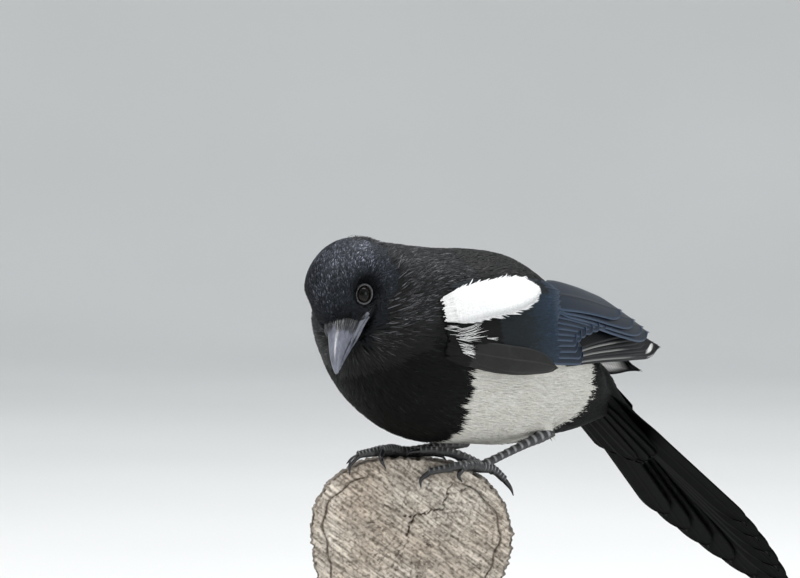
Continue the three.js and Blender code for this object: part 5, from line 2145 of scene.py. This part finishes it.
@dataclass
class Perch:
    """A short cut log lying along Y, its weathered front face toward -Y."""

    width: float = 105.0
    height: float = 86.0
    length: float = 88.0
    squareness: float = 2.4
    wobble: float = 1.2
    bevel: float = 2.0
    roll: float = -4.0
    tilt: float = 4.0
    front: float = -44.0
    spokes: int = 540
    splits: int = 70
    pith: tuple[float, float] = (1.0, 12.2)
    seed: int = 71
    # The widest cracks of the front face, from the pith outward
    CLEFTS = (
        ((0.0, 0.0), (5.0, 2.5), (14.7, 5.3), (16.0, 12.0), (18.0, 19.0)),
        ((0.0, 0.0), (-1.5, -4.0), (-3.0, -10.0)),
        ((0.0, 0.0), (-5.0, 0.5)),
    )

    def outline(self, angle: Array) -> tuple[Array, Array]:
        """Half sizes of the log's outline at angles round its middle.

        Args:
            angle: angles round the log.

        Returns:
            Places across it and heights.
        """
        c, s = np.cos(angle), np.sin(angle)
        blunt = (np.abs(c) ** self.squareness + np.abs(s) ** self.squareness) ** (-1 / self.squareness)
        uneven = self.wobble * (np.sin(3 * angle + 1) + 0.6 * np.sin(7 * angle)) * np.maximum(0, 0.6 - s)
        return (self.width / 2 + uneven) * blunt * c, (self.height / 2 + uneven) * blunt * s

    def cracks(self, x: Array, z: Array) -> Array:
        """Depth share of the cracks on a sawn face: clefts from the pith, and splits between them.

        Args:
            x: places across the face.
            z: heights on the face.

        Returns:
            0 where the face is whole, 1 in the middle of a crack.
        """
        px, pz = self.pith
        x, z = x - px, z - pz
        shift = 0.5 * np.sin(0.9 * z + 0.4 * x) + 0.3 * np.sin(2.3 * x - 1.7 * z)
        deep = np.zeros_like(x)
        for line in self.CLEFTS:
            for (ax, az), (bx, bz) in zip(line[:-1], line[1:]):
                length = (bx - ax) ** 2 + (bz - az) ** 2
                share = np.clip(((x - ax) * (bx - ax) + (z - az) * (bz - az)) / length, 0, 1)
                off = np.hypot(x + shift - ax - share * (bx - ax), z - shift - az - share * (bz - az))
                deep = np.maximum(deep, np.exp(-(off / 0.55) ** 2))
        turn, reach = np.arctan2(z, x), np.hypot(x, z)
        rng = np.random.default_rng(self.seed)
        for _ in range(self.splits):
            heading, start, size = rng.uniform(-math.pi, math.pi), rng.uniform(3, 38), rng.uniform(5, 14)
            off = np.abs((turn - heading + math.pi) % math.tau - math.pi) * reach + 0.6 * shift
            inside = smooth(start - 1, start + 2, reach) * (1 - smooth(start + size - 3, start + size, reach))
            split = rng.uniform(0.2, 0.55) * np.exp(-(off / rng.uniform(0.2, 0.35)) ** 2)
            deep = np.maximum(deep, split * inside)
        return deep

    @staticmethod
    def bark_gap(angle: Array, share: float) -> Array:
        """Depth share of the split between bark and wood, open on the log's left and right.

        Args:
            angle: angles round the log.
            share: place from pith to bark.

        Returns:
            Depth shares.
        """
        open_here = smooth(0.35, 0.75, np.abs(np.cos(angle)) + 0.2 * np.sin(9 * angle))
        place = 0.885 + 0.022 * np.sin(5 * angle) + 0.012 * np.sin(17 * angle)
        return 0.8 * open_here * np.exp(-((share - place) / 0.011) ** 2)

    def form(self) -> Piece:
        """The log's closed surface from the middle of one face round to the middle of the other.

        Returns:
            The new object.
        """
        angle = around(self.spokes)
        edge_x, edge_z = self.outline(angle)
        rows = []
        shrink = 1 - self.bevel / (self.width / 2)
        phase = np.random.default_rng(self.seed + 1).uniform(0, 6, 8)
        for share in np.linspace(0.02, 1.0, 74) ** 0.8:
            x, z = edge_x * share * shrink, edge_z * share * shrink
            deep = np.maximum(self.cracks(x, z), self.bark_gap(angle, share))
            ring = 0.05 * np.sin(np.hypot(x - self.pith[0], z - self.pith[1]) * 2.2)
            saw = 0.12 * np.sin(0.9 * x + 1.25 * z + phase[0]) + 0.08 * np.sin(2.1 * x + 2.6 * z + phase[1])
            rows.append((x, 0.4 - ring - saw + 2.0 * deep, z, deep, 0 * x))
        for y in np.concatenate([[0.9], np.linspace(2.0, self.length - 2.0, 60)]):
            ridge = np.zeros_like(angle)
            for k, count in enumerate((19, 37, 61, 89)):
                sway = 1.1 * np.sin(0.045 * (k + 2) * y + phase[k] + 3 * np.sin(5 * angle + k))
                swell = 0.75 + 0.25 * np.sin(0.09 * y + 7 * angle + k)
                ridge += np.sin(count * angle + sway + phase[k + 4]) * swell
            depth = 0.42 * ridge - 0.6
            size = (1 + depth / 50) * (0.985 if y < 1 else 1.0)
            # crack holds the depth of the bark's furrows, painted as shade in the finish
            rows.append((edge_x * size, 0 * x + y, edge_z * size, np.clip(-0.5 * ridge, 0, 1), 0 * x + 1))
        for share in (1 - np.linspace(0, 0.98, 40)) ** 0.8:
            x, z = edge_x * share * shrink, edge_z * share * shrink
            deep = self.cracks(-x, z)
            rows.append((x, self.length - 0.35 - 2.0 * deep, z, deep, 0 * x))
        grid = np.stack([np.stack(row, axis=1) for row in rows])
        points, faces = capped_tube(grid[..., :3])
        # crack: depth share of the face's cracks, the bark's split and its furrows, which the finish paints
        # as shade
        values = {
            name: np.append(grid[..., k].ravel(), [0.0, 0.0]) for k, name in ((3, "crack"), (4, "bark"))
        }
        local = Frame(
            rotation("x", -self.tilt) @ rotation("y", -self.roll), np.array([0, self.front, LOG_TOP])
        )
        middle = local.axes @ np.array([0, 0, -self.height / 2])
        place = Frame(local.axes, local.origin + middle)
        return mesh_piece("log", points, faces, values=values, home=place)

    def finish(self) -> Material:
        """Weathered sawn wood with saw marks, grey bark round it, and painted shade in its cracks.

        Returns:
            The material.
        """
        shader = Shader("weathered_wood", Roughness=0.85, Specular_IOR_Level=0.15)
        coordinates = shader.node("TexCoord").outputs["Object"]
        turned = shader.node("Mapping", {"Vector": coordinates, "Rotation": (0.0, math.radians(-36), 0.0)})
        sawn = shader.node("Mapping", {"Vector": turned.outputs["Vector"], "Scale": (0.1, 0.3, 1.0)})
        marks = shader.noise(sawn.outputs["Vector"], 800.0, 5.0)
        coarse = shader.noise(sawn.outputs["Vector"], 150.0, 3.0)
        patches = shader.noise(coordinates, 30.0, 6.0)
        fine = shader.noise(coordinates, 620.0, 8.0)
        wood = shader.ramp(
            patches, ((0.3, (0.36, 0.305, 0.25)), (0.5, (0.46, 0.41, 0.35)), (0.7, (0.54, 0.5, 0.445)))
        )
        level = shader.ramp(
            marks, ((0.34, (0.42, 0.4, 0.38)), (0.5, (0.88, 0.88, 0.88)), (0.64, (1.35, 1.35, 1.35)))
        )
        wood = shader.blend(0.85, wood, level, "MULTIPLY")
        broad = shader.ramp(coarse, ((0.35, (0.88, 0.875, 0.87)), (0.65, (1.08, 1.08, 1.08))))
        wood = shader.blend(1.0, wood, broad, "MULTIPLY")
        shell = shader.ramp(
            patches, ((0.3, (0.12, 0.10, 0.085)), (0.6, (0.26, 0.23, 0.2)), (0.8, (0.4, 0.37, 0.34)))
        )
        colour = shader.blend(shader.value("bark"), wood, shell)
        speckle = shader.ramp(
            fine, ((0.36, (0.35, 0.33, 0.31)), (0.5, (1.0, 1.0, 1.0)), (0.68, (1.3, 1.3, 1.3)))
        )
        colour = shader.blend(0.8, colour, speckle, "MULTIPLY")
        # Painted shade: cracks, the bark's split and its furrows darkened toward near black
        painted_crack_shade = shader.math("MULTIPLY", shader.value("crack"), 0.92)
        shader.colour(shader.blend(painted_crack_shade, colour, (0.04, 0.028, 0.02)))
        shader.bump(shader.math("ADD", fine, marks), 0.8, 0.5)
        return shader.material

    def build(self) -> None:
        """Builds the log."""
        finish_piece(self.form(), self.finish(), ["perch_log"])


class Stand:
    """The plain base and rods, which keep their CAD meshes."""

    @staticmethod
    def dress() -> None:
        """Gives the base stained wood and the rods brushed steel."""
        wood = Shader("stained_base", Roughness=0.38, Specular_IOR_Level=0.45, Coat_Weight=0.15)
        grain = wood.node(
            "TexWave", {"Vector": wood.place((1, 9, 9)), "Scale": 22.0, "Distortion": 5.0, "Detail": 4.0}
        ).outputs["Fac"]
        wood.colour(wood.ramp(grain, ((0.2, (0.018, 0.012, 0.009)), (0.8, (0.045, 0.03, 0.022)))))
        wood.bump(grain, 0.2, 0.1)
        steel = Shader("brushed_rod", Metallic=1.0, Roughness=0.3)
        brushed = steel.noise(steel.place((1, 1, 0.02)), 3000.0, 2.0)
        steel.colour(steel.ramp(brushed, ((0.3, (0.42, 0.42, 0.43)), (0.7, (0.62, 0.62, 0.62)))))
        steel.bump(brushed, 0.15, 0.05)
        for node in ("stand_base", "stand_rod_1", "stand_rod_2"):
            piece = frame["nodes"][node]
            piece.data.materials.clear()
            piece.data.materials.append(wood.material if node == "stand_base" else steel.material)


@dataclass
class Studio:
    """Pale floor, soft lights and the camera at the photograph's angle."""

    aim: tuple[float, float, float] = (-8.2, 0.0, 219.0)
    elevation: float = 2.5
    distance: float = 2000.0
    lens: float = 171.0
    floor_reach: float = 2800.0
    floor_curve: float = 1700.0
    wall_top: float = 3600.0
    # Name, place and width in metres, power in watts and colour of each light
    LIGHTS = (
        ("key_light", (-0.9, -1.3, 1.9), 0.9, 34.0, (1.0, 0.98, 0.95)),
        ("top_light", (0.4, 0.2, 2.2), 1.4, 30.0, (0.97, 0.98, 1.0)),
        ("fill_light", (1.7, -1.2, 0.7), 1.2, 9.0, (0.95, 0.97, 1.0)),
    )

    def floor(self) -> None:
        """A flat floor that curves up into a round wall."""
        reach, curve, top = self.floor_reach, self.floor_curve, self.wall_top
        rings = [(r, 0.0) for r in np.linspace(100, reach, 9)]
        for lean in np.linspace(0.1, math.pi / 2, 14):
            rings.append((reach + curve * math.sin(lean), curve - curve * math.cos(lean)))
        rings.append((reach + curve, top))
        angle = around(72)
        rows = [np.stack([r * np.cos(angle), r * np.sin(angle), 0 * angle + z], axis=1) for r, z in rings]
        points = np.concatenate([*rows, np.zeros((1, 3))])
        i = np.arange(len(angle))
        middle = np.stack([np.full_like(i, len(points) - 1), i, (i + 1) % len(angle)], axis=1)
        faces = np.concatenate([grid_faces(len(rows), len(angle), closed=True)[:, ::-1], middle])
        floor = mesh_piece("studio_floor", points, faces, home=TRUNK)
        shader = Shader("studio_paper", Roughness=0.9, Specular_IOR_Level=0.1)
        tint = shader.noise(shader.place(), 1.5, 2.0)
        shader.colour(shader.ramp(tint, ((0.3, (0.72, 0.72, 0.71)), (0.7, (0.76, 0.76, 0.75)))))
        floor.data.materials.append(shader.material)

    @staticmethod
    def light(name: str, place: Sequence[float], size: float, power: float, colour: Colour) -> None:
        """Adds a square soft light that faces the bird.

        Args:
            name: its name.
            place: where it hangs, in metres.
            size: its width in metres.
            power: in watts.
            colour: of its light.
        """
        data = bpy.data.lights.new(name, "AREA")
        data.size, data.energy, data.color = size, power, colour
        lamp = bpy.data.objects.new(name, data)
        lamp.location = place
        target = Vector((0.03, 0.0, 0.2))
        lamp.rotation_euler = (target - Vector(place)).to_track_quat("-Z", "Y").to_euler()
        bpy.context.scene.collection.objects.link(lamp)

    def build(self) -> None:
        """Builds floor, lights, surroundings and camera."""
        self.floor()
        for row in self.LIGHTS:
            self.light(*row)
        scene = bpy.context.scene
        world = bpy.data.worlds.new("soft_sky")
        world.use_nodes = True
        world.node_tree.nodes["Background"].inputs["Color"].default_value = (0.9, 0.95, 1.0, 1.0)
        world.node_tree.nodes["Background"].inputs["Strength"].default_value = 0.7
        scene.world = world
        scene.view_settings.view_transform = "Standard"
        data = bpy.data.cameras.new("camera")
        data.lens, data.sensor_width = self.lens, 36.0
        data.clip_end = 20.0
        camera = bpy.data.objects.new("camera", data)
        lean = math.radians(self.elevation)
        x, y, z = self.aim
        place = Vector((x, y - self.distance * math.cos(lean), z + self.distance * math.sin(lean)))
        camera.location = place * MILLIMETRE
        camera.rotation_euler = (math.radians(90 - self.elevation), 0.0, 0.0)
        scene.collection.objects.link(camera)
        scene.camera = camera


def main() -> None:
    """Builds the bird, its perch, its stand and the studio."""
    logging.basicConfig(level=logging.INFO, format="%(message)s")
    Studio().build()
    Stand.dress()
    Perch().build()
    Legs().build()
    skin = Skin()
    skin.dress()
    for coat in COATS:
        coat.build(skin)
    Tail().build()
    FoldedWing("left", 1, 0.0, 0.0).build()
    FoldedWing("right", -1, 13.0, 13.0).build()
    Bill().build()
    Bristles().build()
    Eyes().build()


if __name__ == "__main__":
    main()
